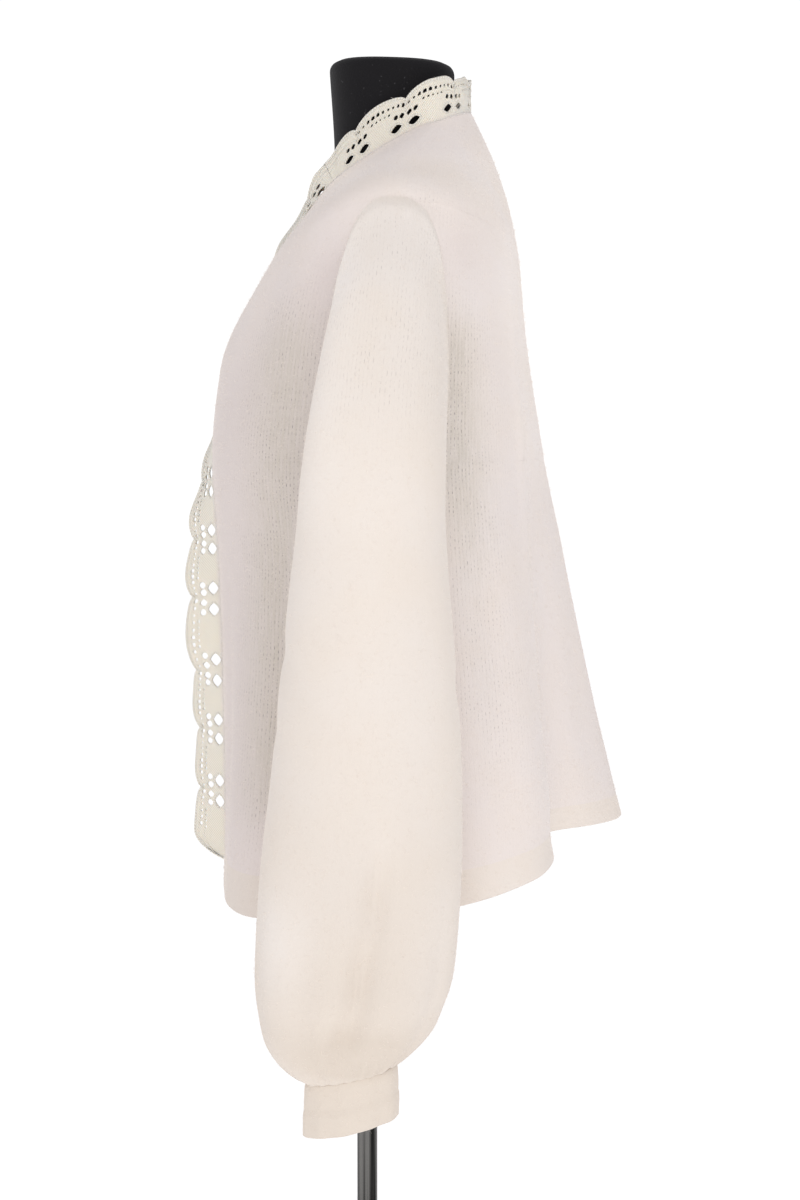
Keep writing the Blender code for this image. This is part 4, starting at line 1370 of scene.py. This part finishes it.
@dataclass
class Edging:
    """Crocheted edging: a collar in two halves and a strip down each front edge.

    Each strip is worked flat, as a sheet of the length along the edge and the height above it, and then
    laid on the surface that stands from the edge. A repeat is a fan of close stitches between two large
    eyelets at each notch, with smaller ones over them, a row of small ones under a solid rim, and a solid
    base. Cords run along the crest, round the large eyelets and along the base.
    """

    body: BodyCloth
    height: float = 0.034
    notch: float = 0.74
    repeat: float = 0.0445
    wall: float = 0.0016
    seam: float = -0.0008
    corner: float = 0.052
    corner_trim: float = 0.012
    lean: float = 0.1
    ruffle: float = 0.0012
    sides: int = 6
    fine: int = 480
    left_turn: Table = table("z turn", [
        (0.36, 52.0), (0.397, 50.0), (0.438, 46.0), (0.492, 48.0), (0.537, 57.0), (0.587, 48.0),
        (0.625, 34.0), (0.646, 21.0), (0.666, 9.0), (0.687, 0.0), (0.71, -5.0), (0.74, -6.0), (0.785, -3.0),
        (0.81, 4.0), (0.835, 8.0), (0.86, 1.0), (0.9, -7.0),
    ])
    right_turn: Table = table("z turn", [
        (0.36, -2.0), (0.56, -2.0), (0.7, -3.0), (0.9, -4.0),
    ])
    back_drop: float = 0.18
    back_ease: tuple[float, float] = (0.046, 0.07)
    corner_lean: float = 0.15
    corner_clear: float = 0.018
    corner_onward: float = 0.1
    corner_rise: float = 0.8
    front_start: float = 0.004
    bridge_steps: int = 25
    hem_solid: float = 0.6
    halo_columns: int = 160
    halo_rows: int = 4
    halo_low: float = 0.86
    halo_high: float = 0.985
    small_most: float = 0.0019
    pull: float = 1.4
    corner_drop: float = 0.48
    cells_across: int = 56
    cells_up: int = 40
    least_cell: float = 0.004
    crest_steps: int = 22
    eyelet_steps: int = 17
    snap: float = 0.00042
    stitch: float = 0.0021
    root_fade: float = 0.0045
    swell: float = 0.0003
    sheet_wall: float = 0.0011
    hem_round: float = 0.017
    collar_shift: float = 0.39
    front_repeats: tuple[float, ...] = (210.0, 210.0, 205.0, 215.0, 210.0, 200.0, 195.0, 200.0, 255.0,
                                        200.0, 215.0, 235.0)
    front_eyelets: Table = table("across height half_along half_height", [
        (0.16, 0.0078, 0.0056, 0.0056), (0.84, 0.0078, 0.0056, 0.0056), (0.076, 0.0168, 0.0028, 0.0033),
        (0.924, 0.0168, 0.0028, 0.0033), (0.204, 0.0176, 0.0027, 0.003), (0.796, 0.0176, 0.0027, 0.003),
    ])
    collar_eyelets: Table = table("across height half_along half_height", [
        (0.17, 0.0085, 0.0055, 0.0038), (0.83, 0.0085, 0.0055, 0.0038), (0.07, 0.0165, 0.0023, 0.0022),
        (0.93, 0.0165, 0.0023, 0.0022), (0.19, 0.0172, 0.0022, 0.002), (0.81, 0.0172, 0.0022, 0.002),
    ])
    small_eyelets: Table = table("share first last count half", [
        (0.8, 0.055, 0.945, 10, 0.0015), (0.66, 0.33, 0.67, 5, 0.0011),
    ])
    ridges: Table = table("share half depth", [
        (0.1, 0.03, 0.00035), (0.71, 0.03, 0.00045), (0.89, 0.028, 0.00045), (0.55, 0.03, 0.00025),
    ])
    cords: Table = table("share radius", [(0.975, 0.00105), (0.03, 0.001)])
    eyelet_cord: float = 0.00085

    def rooted(self, angles: Array, levels: Array, leaving: Array, standing: Array) -> Array:
        """Root of an edging: the middle of the cloth's rim, sunk in by the seam and set off by the wall.

        Args:
            angles, levels: angles and levels of the cloth's edge.
            leaving, standing: the way in which the cloth ends there, and in which the edging stands.

        Returns:
            Points of the root.
        """
        rim = self.body.surface(angles, levels) - 0.5 * self.body.wall * self.body.normal(angles, levels)
        slant = np.sqrt(np.clip(1.0 - np.sum(leaving * standing, axis=-1, keepdims=True) ** 2, 0.0, 1.0))
        return rim + leaving * (self.seam + 0.5 * self.wall * slant)

    def collar_path(self, hand: Hand) -> tuple[Array, Array]:
        """Root and standing direction of half the collar, from the centre back to the front corner.

        It stands upright with a slight lean into the neck, a little lower round the centre back, and at the
        corner it is lower too, turns onward and leans clear of the form's neck.

        Args:
            hand: which half.

        Returns:
            Points of the root and the standing directions there, shorter than one where it is lower.
        """
        body = self.body
        corner = float(body.opening_angle(np.array(body.neck)))
        angles = np.linspace(180.0, corner, self.fine)
        if hand is Hand.RIGHT:
            angles = 360.0 - angles
        levels = np.full(self.fine, body.neck)
        path = body.surface(angles, levels)
        leaving = unit(path - body.surface(angles, levels - 0.05))
        travelled = travel(path, 0)
        share = np.clip((travelled - travelled[-1] + self.corner) / self.corner, 0.0, 1.0)[:, None] ** 2.6
        onward = unit(np.gradient(path, axis=0) * LEVEL)
        rise = unit(UP + self.lean * leaving)
        outward = unit((path - np.array([0.0, body.neck_middle_y, 0.0])) * LEVEL)
        left = (travelled[-1] - travelled)[:, None]
        clear = self.corner_lean * bell(left - self.corner_clear, self.corner_clear)
        behind = (1.0 - ease_step(*self.back_ease, travelled))[:, None]
        low = self.back_drop * behind + self.corner_drop * share
        standing = unit(rise + self.corner_onward * share * onward + clear * outward) * (1.0 - low)
        root = self.rooted(angles, levels, leaving, unit(standing))
        kept = self.fine - int(self.fine * self.corner_trim)
        return root[:kept], standing[:kept]

    def front_path(self, hand: Hand) -> tuple[Array, Array]:
        """Root and standing direction of a front strip, from the neckline down to the hem.

        It goes on from the cloth, turned out of it by the angle in the side's table, and upward at the top
        corner.

        Args:
            hand: which front.

        Returns:
            Points of the root and the standing directions there.
        """
        body = self.body
        turns = self.left_turn if hand is Hand.LEFT else self.right_turn
        levels = np.linspace(body.neck, 0.0, self.fine)
        angles = hand.value * body.opening_angle(levels)
        path = body.surface(angles, levels)
        leaving = unit(body.surface(angles - hand.value * 0.5, levels) - path)
        outward = body.normal(angles, levels)
        turn = np.radians(smooth(turns["z"], turns["turn"], path[:, 2]))[:, None]
        travelled = travel(path, 0)
        share = np.clip(1.0 - travelled / self.corner, 0.0, 1.0)[:, None] ** 1.5
        standing = unit(leaving * np.cos(turn) + outward * np.sin(turn) + self.corner_rise * share * UP)
        standing = standing * (1.0 - 0.5 * self.corner_drop * share)
        root = self.rooted(angles, levels, leaving, unit(standing))
        first = int(np.searchsorted(travelled, self.front_start))
        return root[first:], standing[first:]

    def strips(self, hand: Hand) -> dict[str, tuple[Array, Array]]:
        """The collar half and the front strip of one side, carried on to meet half way round the corner.

        The way round the corner is a straight line between their ends, along which the standing direction
        turns evenly from the one to the other.

        Args:
            hand: which side.

        Returns:
            Root and standing direction of each strip, by the ending of its name.
        """
        collar, collar_up = self.collar_path(hand)
        front, front_up = self.front_path(hand)
        share = np.linspace(0.0, 1.0, self.bridge_steps)[1:-1, None]
        bridge = collar[-1] * (1.0 - share) + front[0] * share
        bridge_up = collar_up[-1] * (1.0 - share) + front_up[0] * share
        half = len(bridge) // 2
        return {
            "_collar_lace": (np.concatenate([collar, bridge[:half]]),
                             np.concatenate([collar_up, bridge_up[:half]])),
            "_front_lace": (np.concatenate([bridge[half:], front]),
                            np.concatenate([bridge_up[half:], front_up])),
        }

    def row_height(self, across: Array, share: Array) -> Array:
        """Height of a row of the edging.

        The crest is half an ellipse on the notch's height. A lower row is that share of it, and its waves
        are flatter by the same share.

        Args:
            across: place across a repeat, from 0 to 1.
            share: 0 at the base, 1 at the crest.

        Returns:
            Height above the edge.
        """
        dome = np.sqrt(np.clip(1.0 - (2.0 * across - 1.0) ** 2, 0.0, 1.0))
        wave = share * dome + 0.8 * (1.0 - share)
        return self.height * share * (self.notch + (1.0 - self.notch) * wave)

    def meetings(self, length: float, neck: bool) -> Array:
        """Places along a strip where its repeats meet: even on the collar, uneven down the front.

        The collar begins within a repeat at the centre back, and the front strip goes on from the place in
        the repeat at which the collar ends, so its first meeting lies before its start.

        Args:
            length: length of the strip.
            neck: whether the strip is on the collar.

        Returns:
            Rising places, the first at or before 0 and the last at or after the length.
        """
        if neck:
            count = max(1, round(length / self.repeat))
            return length / count * (np.arange(count + 2) - 1.0 + self.collar_shift)
        parts = np.array(self.front_repeats)
        shown = np.concatenate([[parts[0] * self.collar_shift], parts[1:]])
        scale = length / shown.sum()
        return scale * (np.concatenate([[0.0], np.cumsum(parts)]) - parts[0] * (1.0 - self.collar_shift))

    def larger(self, neck: bool) -> Table:
        """The larger eyelets of one repeat, of the collar or of a front strip."""
        return self.collar_eyelets if neck else self.front_eyelets

    def eyelets(self, neck: bool) -> Table:
        """All eyelets of one repeat: the larger ones of the strip and the rows of small ones.

        Args:
            neck: whether the strip is on the collar.

        Returns:
            Place across the repeat, height and half sizes.
        """
        larger = self.larger(neck)
        columns = [list(larger.values())]
        for share, first, last, count, half in zip(*self.small_eyelets.values()):
            across = np.linspace(first, last, int(count))
            uneven = half * (1.0 + 0.22 * np.sin(5.3 * np.arange(int(count)) + 9.0 * share))
            columns.append([across, self.row_height(across, share), uneven, uneven])
        return dict(zip(larger, (np.concatenate(parts) for parts in zip(*columns))))

    def diamond(self, sized: Array) -> Array:
        """Distance from an eyelet's middle, 1 on its edge: the root of its two parts' summed powers."""
        return np.sum(np.abs(sized) ** self.pull, axis=-1) ** (1.0 / self.pull)

    def closed(self, number: Array, repeats: int, place: float, half: float, neck: bool) -> Array:
        """Whether a repeat lacks an eyelet: one at the hem's solid end, or a small one at the corner."""
        hem = (number == repeats - 1) & (place > self.hem_solid) & (not neck)
        return hem | ((number == (repeats - 1 if neck else 0)) & (half < self.small_most))

    def sheet(self, starts: Array, length: float, neck: bool) -> tuple[Array, Array, Array]:
        """A flat sheet with eyelets.

        Its grid has even columns in every repeat and even rows from the base to the crest. Grid points
        near an eyelet's edge are moved onto it, and cells that reach inside are left out. The last half
        repeat at the hem is solid.

        Args:
            starts, length: places where the repeats meet, and the length of the strip.
            neck: whether the strip is on the collar.

        Returns:
            The grid of flat places (along, height), the share of the crest's height on that grid, and the
            kept cells as point numbers.
        """
        repeats = len(starts) - 1
        counted = np.arange(repeats + 1.0)
        ends = np.interp([0.0, length], starts, counted)
        steps = np.arange(repeats * self.cells_across + 1) / self.cells_across
        kept = (steps > ends[0] + self.least_cell) & (steps < ends[1] - self.least_cell)
        column = np.concatenate([ends[:1], steps[kept], ends[1:]])
        number = np.minimum(column.astype(int), repeats - 1)
        across = column - number
        pitch = np.diff(starts)[number]
        share = np.linspace(0.0, 1.0, self.cells_up + 1)[:, None] + 0.0 * across
        plain = np.stack([starts[number] + across * pitch + 0.0 * share,
                          share * self.row_height(across, np.array(1.0))], axis=-1)
        cells = grid_cells(*share.shape, False)[0]
        centre = plain.reshape(-1, 2)[cells].mean(axis=1)
        owner = np.broadcast_to(number, share.shape).ravel()[cells[:, 0]]
        flat = plain.copy()
        within = np.zeros(share.shape, bool)
        dropped = np.zeros(len(cells), bool)
        for place, up, half, tall in zip(*self.eyelets(neck).values()):
            middle = joined(starts[number] + place * pitch, up)
            sized = (plain - middle) / np.array([half, tall])
            ratio = np.maximum(self.diamond(sized), 1e-6)
            ratio = np.where(self.closed(number, repeats, place, half, neck), 9.0, ratio)
            near = np.abs(ratio - 1.0) * min(half, tall) < self.snap
            flat = np.where(near[..., None], middle + (plain - middle) / ratio[..., None], flat)
            within |= (ratio < 1.0) & ~near
            hole = joined((starts[:-1] + place * np.diff(starts))[owner], up)
            over = self.diamond((centre - hole) / np.array([half, tall])) < 0.9
            dropped |= over & ~self.closed(owner, repeats, place, half, neck)
        dropped |= within.ravel()[cells].any(axis=1)
        return flat, share, cells[~dropped]

    def lines(self, starts: Array, length: float, neck: bool) -> list[tuple[Array, float]]:
        """Cords of a flat strip: along the crest and the base, and round the larger eyelets.

        Args:
            starts, length: places where the repeats meet, and the length of the strip.
            neck: whether the strip is on the collar.

        Returns:
            Groups of cords with one radius each, as cords by points by (along, height).
        """
        repeats = len(starts) - 1
        counted = np.arange(repeats + 1.0)
        ends = np.interp([0.0, length], starts, counted)
        sweep = 0.5 - 0.5 * np.cos(math.pi * np.arange(self.crest_steps) / self.crest_steps)
        steps = (counted[:-1, None] + sweep).ravel()
        steps = np.concatenate([ends[:1], steps[(steps > ends[0]) & (steps < ends[1])], ends[1:]])
        groups = []
        for share, radius in zip(*self.cords.values()):
            line = joined(np.interp(steps, counted, starts), self.row_height(steps % 1.0, np.array(share)))
            groups.append((line[None], radius))
        turn = np.linspace(0.0, 2.0 * math.pi, self.eyelet_steps)
        round_it = joined(np.cos(turn), np.sin(turn))
        edge = round_it / self.diamond(round_it)[:, None]
        for place, up, half, tall in list(zip(*self.larger(neck).values()))[:2]:
            middle = (starts[:-1] + place * np.diff(starts))[:, None]
            inside = (middle > half) & (middle < length - 2.0 * half)
            along = middle[inside[:, 0]] + half * edge[:, 0]
            groups.append((joined(along, up + tall * edge[:, 1]), self.eyelet_cord))
        return groups

    def walled(self, outer: Array, inner: Array, cells: Array) -> tuple[Draft, Array]:
        """A closed wall between two grids of which only some cells are kept, with rounded rims.

        The rim's middle line stands out by swell, away from the cells that it borders.

        Args:
            outer, inner: grids of points of the two faces.
            cells: kept cells as point numbers.

        Returns:
            The draft, and the grid point that each point of the draft takes its values from.
        """
        used = np.unique(cells)
        count = len(used)
        cells = np.searchsorted(used, cells)
        out, into = outer.reshape(-1, 3)[used], inner.reshape(-1, 3)[used]
        normal = grid_normals(outer, False).reshape(-1, 3)[used]
        first, second = cells.ravel(), np.roll(cells, -1, axis=1).ravel()
        border = ~np.isin(first * count + second, second * count + first)
        first, second = first[border], second[border]
        beside = np.cross(unit(out[second] - out[first]), normal[first])
        away = np.zeros_like(out)
        np.add.at(away, first, beside)
        np.add.at(away, second, beside)
        edge = np.unique(first)
        rim = 2 * count + np.searchsorted(edge, first)
        following = 2 * count + np.searchsorted(edge, second)
        points = np.concatenate([out, into, 0.5 * (out[edge] + into[edge]) + self.swell * unit(away[edge])])
        quads = np.concatenate([cells, cells[:, ::-1] + count,
                                np.stack([second, first, rim, following], axis=-1),
                                np.stack([first + count, second + count, following, rim], axis=-1)])
        normals = np.concatenate([normal, -normal, unit(away[edge])])
        return Draft(points, quads, normals=normals), np.concatenate([used, used, used[edge]])

    def corded(self, line: Array, face: Array, radius: float) -> tuple[Draft, Array]:
        """Round cords carried along lines.

        Args:
            line: cords by points by three.
            face: the way across the strip at those points.
            radius: radius of the cords.

        Returns:
            The draft with the UV map Yarn, and the number of the line's point for each of its points.
        """
        count = line.shape[1]
        turn = ring_turns(self.sides)
        tangent = unit(np.gradient(line, axis=1))
        beside = unit(np.cross(tangent, face))
        front = np.cross(beside, tangent)
        ray = np.cos(turn)[:, None] * front[:, :, None] + np.sin(turn)[:, None] * beside[:, :, None]
        tube = line[:, :, None] + radius * ray
        cells, point = grid_cells(count, self.sides, True)
        cap = np.array([[0, 5, 4, 3], [0, 3, 2, 1]])
        tip = (count - 1) * self.sides + np.array([[0, 1, 2, 3], [0, 3, 4, 5]])
        faces = np.concatenate([point[cells], cap, tip])
        first = count * self.sides * np.arange(len(line))
        spun = np.arange(self.sides + 1) / self.sides
        uv = joined(travel(line)[:, :, None], spun).reshape(len(line), -1, 2)
        ends = np.concatenate([np.zeros((2, 4), int), np.full((2, 4), len(point) - 1)])
        maps = {"Yarn": uv[:, np.concatenate([cells, ends]).ravel()].reshape(-1, 2)}
        draft = Draft(tube.reshape(-1, 3), (first[:, None, None] + faces).reshape(-1, 4), maps=maps,
                      normals=ray.reshape(-1, 3))
        return draft, np.repeat(np.arange(line.shape[0] * count), self.sides)

    def lay(self, root: Array, standing: Array, neck: bool) -> tuple[Draft, Array]:
        """Lays a strip's sheet and cords on the surface that stands from its edge.

        A point at a length and a height lies that far along the root and up the standing direction, and
        the strip ruffles a little across itself, more towards its crest. A front strip is rounded off at
        the hem by a quarter circle. The sheet is thicker along its ridges, each a bell of the share of the
        crest's height.

        Args:
            root, standing: points of the strip's root, and the standing directions there.
            neck: whether the strip is on the collar.

        Returns:
            The draft, and a coarse grid of the strip's rim for its halo.
        """
        travelled = travel(root, 0)
        length = float(travelled[-1])
        across = unit(np.cross(unit(np.gradient(root, axis=0)), standing))
        starts = self.meetings(length, neck)

        def read(values: Array, at: Array) -> Array:
            """Values along the root at lengths along it."""
            return np.stack([np.interp(at, travelled, values[:, i]) for i in range(3)], axis=-1)

        def lift(flat: Array) -> tuple[Array, Array]:
            """Points of the strip at flat places, and the way across it there."""
            at, up = flat[..., 0], flat[..., 1:]
            if not neck:
                past = np.clip((at - length) / self.hem_round + 1.0, 0.0, 1.0)
                up = up * np.sqrt(np.clip(1.0 - past ** 2, 0.01, 1.0))[..., None]
            face = unit(read(across, at))
            counted = np.interp(at, starts, np.arange(len(starts)))
            wave = np.sin(2.0 * math.pi * counted + 0.6 * np.sin(9.0 * at))[..., None]
            ruffle = self.ruffle * (up / self.height) ** 1.5 * wave * face
            return read(root, at) + up * read(standing, at) + ruffle, face

        flat, share, cells = self.sheet(starts, length, neck)
        middle, face = lift(flat)
        thick = np.full_like(share, 0.5 * self.sheet_wall)
        for centre, half, depth in zip(*self.ridges.values()):
            thick += depth * bell(share - centre, half)
        half = thick[..., None] * face
        draft, source = self.walled(middle + half, middle - half, cells)
        chart = flat[..., ::-1].reshape(-1, 2)[source] / np.array([1.0, self.stitch])
        drafts, maps, heights = [draft], [chart[draft.quads.ravel()]], [flat[..., 1].ravel()[source]]
        for line, radius in self.lines(starts, length, neck):
            cord, source = self.corded(*lift(line), radius)
            drafts.append(cord)
            maps.append(cord.maps["Yarn"])
            heights.append(line[..., 1].ravel()[source])
        before = np.cumsum([0] + [len(part.points) for part in drafts])
        whole = Draft(np.concatenate([part.points for part in drafts]),
                      np.concatenate([part.quads + first for part, first in zip(drafts, before)]),
                      maps={"Yarn": np.concatenate(maps)},
                      values={"root": np.clip(1.0 - np.concatenate(heights) / self.root_fade, 0.0, 1.0)},
                      normals=np.concatenate([part.normals for part in drafts]))
        at = np.linspace(0.0, length, self.halo_columns)
        counted = np.interp(at, starts, np.arange(len(starts))) % 1.0
        shares = np.linspace(self.halo_low, self.halo_high, self.halo_rows)[:, None]
        up = shares * self.row_height(counted, np.array(1.0))
        return whole, lift(joined(at, up))[0]

    def build(self, room: Workroom) -> dict[str, Piece]:
        """Makes the four strips, with their halos.

        Args:
            room: the shared materials.

        Returns:
            The pieces by name.
        """
        made = {}
        for seed, hand in enumerate(Hand):
            for kind, (root, standing) in self.strips(hand).items():
                name = hand.word + kind
                draft, rim = self.lay(root, standing, kind == "_collar_lace")
                made[name] = settle(draft.build(name + "_crochet", room.yarn), Slot.CROCHET, name)
                made[name + "_halo"] = room.comb(name, rim, False, 71 + seed, Slot.CROCHET)
        return made


@dataclass
class DressForm:
    """Torso and neck of the dress form, one smooth closed body inside the cloth."""

    body: BodyCloth
    columns: int = 112
    torso_rings: int = 78
    neck_square: float = 2.5
    dome: float = 0.001
    ease: Table = table("level front side back", [
        (0.62, 0.03, 0.052, 0.08), (1.0, 0.029, 0.046, 0.072), (2.0, 0.038, 0.066, 0.07),
        (3.0, 0.02, 0.046, 0.042), (4.0, 0.006, 0.022, 0.018), (5.0, 0.006, 0.014, 0.008),
        (5.6, 0.0055, 0.008, 0.003), (6.0, 0.005, 0.003, 0.001), (6.5, 0.0045, 0.001, 0.001),
        (7.0, 0.0045, 0.001, 0.001), (7.3, 0.0045, 0.001, 0.001),
    ])
    neck: Table = table("front_y front_z side_x back_y back_z", [
        (-0.0255, 0.867, 0.059, 0.069, 0.914), (-0.024, 0.9, 0.0545, 0.067, 0.932),
        (-0.0275, 0.96, 0.053, 0.0675, 0.957), (-0.0258, 0.9648, 0.051, 0.0658, 0.9622),
        (-0.021, 0.9675, 0.0455, 0.061, 0.965),
    ])

    def torso(self) -> Array:
        """Rings inside the cloth: its plain rings moved in along their normals by the wall and the ease.

        Returns:
            Grid of points, of which the lowest ring is flat.
        """
        level = np.linspace(*self.ease["level"][[0, -1]], self.torso_rings)[:, None]
        turn = ring_turns(self.columns)[None, :]
        angle, cosine = np.degrees(turn), np.cos(turn)
        front, side, back = (smooth(self.ease["level"], self.ease[way], level)
                             for way in ("front", "side", "back"))
        ease = side + np.where(cosine > 0.0, front - side, back - side) * cosine ** 2
        normal = self.body.normal(angle, level, plain=True)
        rings = self.body.plain(angle, level) - (self.body.wall + ease)[..., None] * normal
        rings[0, :, 2] = rings[0, :, 2].mean()
        return rings

    def throat(self) -> Array:
        """Tilted flat rings of the neck, squarer than an oval towards its rounded top.

        The sine and the cosine of the turn are raised to a power below 1.

        Returns:
            Grid of points.
        """
        at = np.concatenate([np.linspace(0.0, 2.0, 22), np.linspace(2.15, 4.0, 12)])[:, None]
        read = read_rows(self.neck, at)
        turn = ring_turns(self.columns)[None, :]
        centre_y = self.body.neck_middle_y
        middle = 0.5 * (read["front_z"] + read["back_z"])
        square = 1.0 - (1.0 - 2.0 / self.neck_square) * ease_step(0.0, 1.0, at)
        ahead = np.sign(np.cos(turn)) * np.abs(np.cos(turn)) ** square
        beside = np.sign(np.sin(turn)) * np.abs(np.sin(turn)) ** square
        depth = np.where(ahead > 0.0, centre_y - read["front_y"], read["back_y"] - centre_y)
        rise = np.where(ahead > 0.0, read["front_z"] - middle, read["back_z"] - middle) * np.abs(ahead)
        return joined(read["side_x"] * beside, centre_y - depth * ahead, middle + rise)

    def build(self) -> Piece:
        """Makes the form, closed below by a flat face and above by a low dome.

        Returns:
            The piece.
        """
        rings = np.concatenate([self.torso(), self.throat()])
        draft = capped(rings, rings[0].mean(axis=0), rings[-1].mean(axis=0) + self.dome * UP)
        jersey = JerseyFinish().material()
        return settle(draft.build("dress_form_jersey", jersey), Slot.JERSEY, "dress_form")


@dataclass
class Stand:
    """Pole and round base of the dress form."""

    pole_radius: float = 0.008
    base_radius: float = 0.15
    base_height: float = 0.01
    edge: float = 0.003
    socket_radius: float = 0.019
    socket_height: float = 0.016
    seam: float = 0.0003
    steps: int = 96
    chamfer: float = 0.0006
    base_chamfer: float = 0.001
    fillet: float = 0.0015

    def turned(self, profile: list[tuple[float, float]]) -> Draft:
        """A profile of radii and heights, from the lower to the upper end, carried round the Z axis."""
        radius, height = np.array(profile, float).T[..., None]
        middle = joined(0.0, 0.0, height[:, 0])
        return capped(lathe(radius, height, self.steps), middle[0], middle[-1])

    def rounded(self) -> list[tuple[float, float]]:
        """Profile of the base's upper edge: a quarter round, from the vertical to the level side."""
        bend = np.linspace(0.0, 0.5 * math.pi, 6)
        across = self.base_radius - self.edge * (1.0 - np.cos(bend))
        along = self.base_height - self.edge * (1.0 - np.sin(bend))
        return list(zip(across, along))

    def build(self) -> list[Piece]:
        """Makes the pole and the base.

        Returns:
            The two pieces.
        """
        low, ring, socket = self.base_height, self.pole_radius, self.socket_radius
        top = low + self.socket_height
        foot = top + self.seam
        head = float(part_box("stand_pole")[1].z)
        pole = self.turned([(ring - self.chamfer, foot), (ring, foot + self.chamfer)]
                           + [(ring, z) for z in np.linspace(foot + 0.004, head - 0.004, 12)]
                           + [(ring, head - self.chamfer), (ring - self.chamfer, head)])
        base = self.turned([
            (self.base_radius - self.base_chamfer, 0.0), (self.base_radius, self.base_chamfer),
            *self.rounded(), (0.1, low), (0.05, low), (socket + self.fillet, low),
            (socket + 0.0002, low + 0.0008), (socket, low + 0.002), (socket, top - self.fillet),
            (socket - 0.0004, top - 0.0004), (socket - self.fillet, top)])
        polished = SteelFinish("polished_steel_tube").material()
        brushed = SteelFinish("brushed_steel_disc", "#9A9998", "#7C7B7A", (240.0, 240.0, 240.0)).material()
        return [settle(pole.build("stand_pole_steel", polished), Slot.STEEL, "stand_pole"),
                settle(base.build("stand_base_steel", brushed), Slot.STEEL, "stand_base")]


@dataclass
class Studio:
    """Floor, light and camera."""

    camera_place: Point = (1.8, 0.026, 0.712)
    camera_fall: float = 200.0 / 2322.0
    lens: float = 69.66
    ambient: float = 0.58
    backdrop: float = 1.05
    key_power: float = 19.0
    key_place: Point = (2.4, 0.1, 1.6)
    key_size: float = 1.8
    key_aim: Point = (0.05, 0.03, 0.58)
    floor_rings: tuple[float, ...] = (0.02, 0.5, 1.5, 4.0, 9.0)
    floor_gap: float = 0.0005
    floor_steps: int = 48

    def light_air(self) -> None:
        """A pale even surround: white to the eye, a little weaker as light."""
        world = bpy.data.worlds.new("pale_surround")
        bpy.context.scene.world = world
        world.use_nodes = True
        world.node_tree.nodes.clear()
        add = partial(add_node, world.node_tree)
        seen = add("Background", {"Color": linear("#FFFFFF"), "Strength": self.backdrop})
        felt = add("Background", {"Color": linear("#FCFBFF"), "Strength": self.ambient})
        ray = add("LightPath").outputs["Is Camera Ray"]
        add("OutputWorld", {0: add("MixShader", {0: ray, 1: felt, 2: seen})})

    def hang_lamp(self) -> None:
        """One large soft lamp beside the camera."""
        lamp = bpy.data.lights.new("soft_key", "AREA")
        lamp.energy = self.key_power
        lamp.size = self.key_size
        lamp.color = linear("#FFFBF6")[:3]
        holder = bpy.data.objects.new("soft_key", lamp)
        way = np.array(self.key_place) - np.array(self.key_aim)
        holder.location = self.key_place
        holder.rotation_euler = (math.acos(way[2] / np.linalg.norm(way)), 0.0,
                                 math.atan2(way[1], way[0]) + 0.5 * math.pi)
        bpy.context.scene.collection.objects.link(holder)

    def lay_floor(self) -> None:
        """A wide flat disc under the base, as a grid of radius and angle."""
        rings = lathe(np.array(self.floor_rings)[:, None], -self.floor_gap, self.floor_steps)
        cells, point = grid_cells(len(rings), self.floor_steps, True)
        draft = Draft(rings.reshape(-1, 3), point[cells][:, ::-1])
        draft.build("studio_floor", FloorFinish().material())

    def set_camera(self) -> None:
        """The camera at the photograph's angle: it looks along -X and a little down."""
        lens = bpy.data.cameras.new("photo_camera")
        lens.lens = self.lens
        lens.sensor_width = 36.0
        lens.sensor_fit = "AUTO"
        holder = bpy.data.objects.new("photo_camera", lens)
        holder.location = self.camera_place
        holder.rotation_euler = (0.5 * math.pi - math.atan(self.camera_fall), 0.0, 0.5 * math.pi)
        bpy.context.scene.collection.objects.link(holder)
        bpy.context.scene.camera = holder

    def build(self) -> None:
        """Sets up the whole studio, with plain sRGB display."""
        self.light_air()
        self.hang_lamp()
        self.lay_floor()
        self.set_camera()
        bpy.context.scene.view_settings.view_transform = "Standard"
        bpy.context.scene.view_settings.look = "None"


def main() -> None:
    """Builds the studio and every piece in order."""
    logging.basicConfig(level=logging.INFO, format="%(name)s: %(message)s")
    Studio().build()
    room = Workroom()
    body = BodyCloth()
    made = body.build(room)
    made.update(Sleeves(body).build(room))
    made.update(Edging(body).build(room))
    DressForm(body).build()
    Stand().build()


if __name__ == "__main__":
    main()
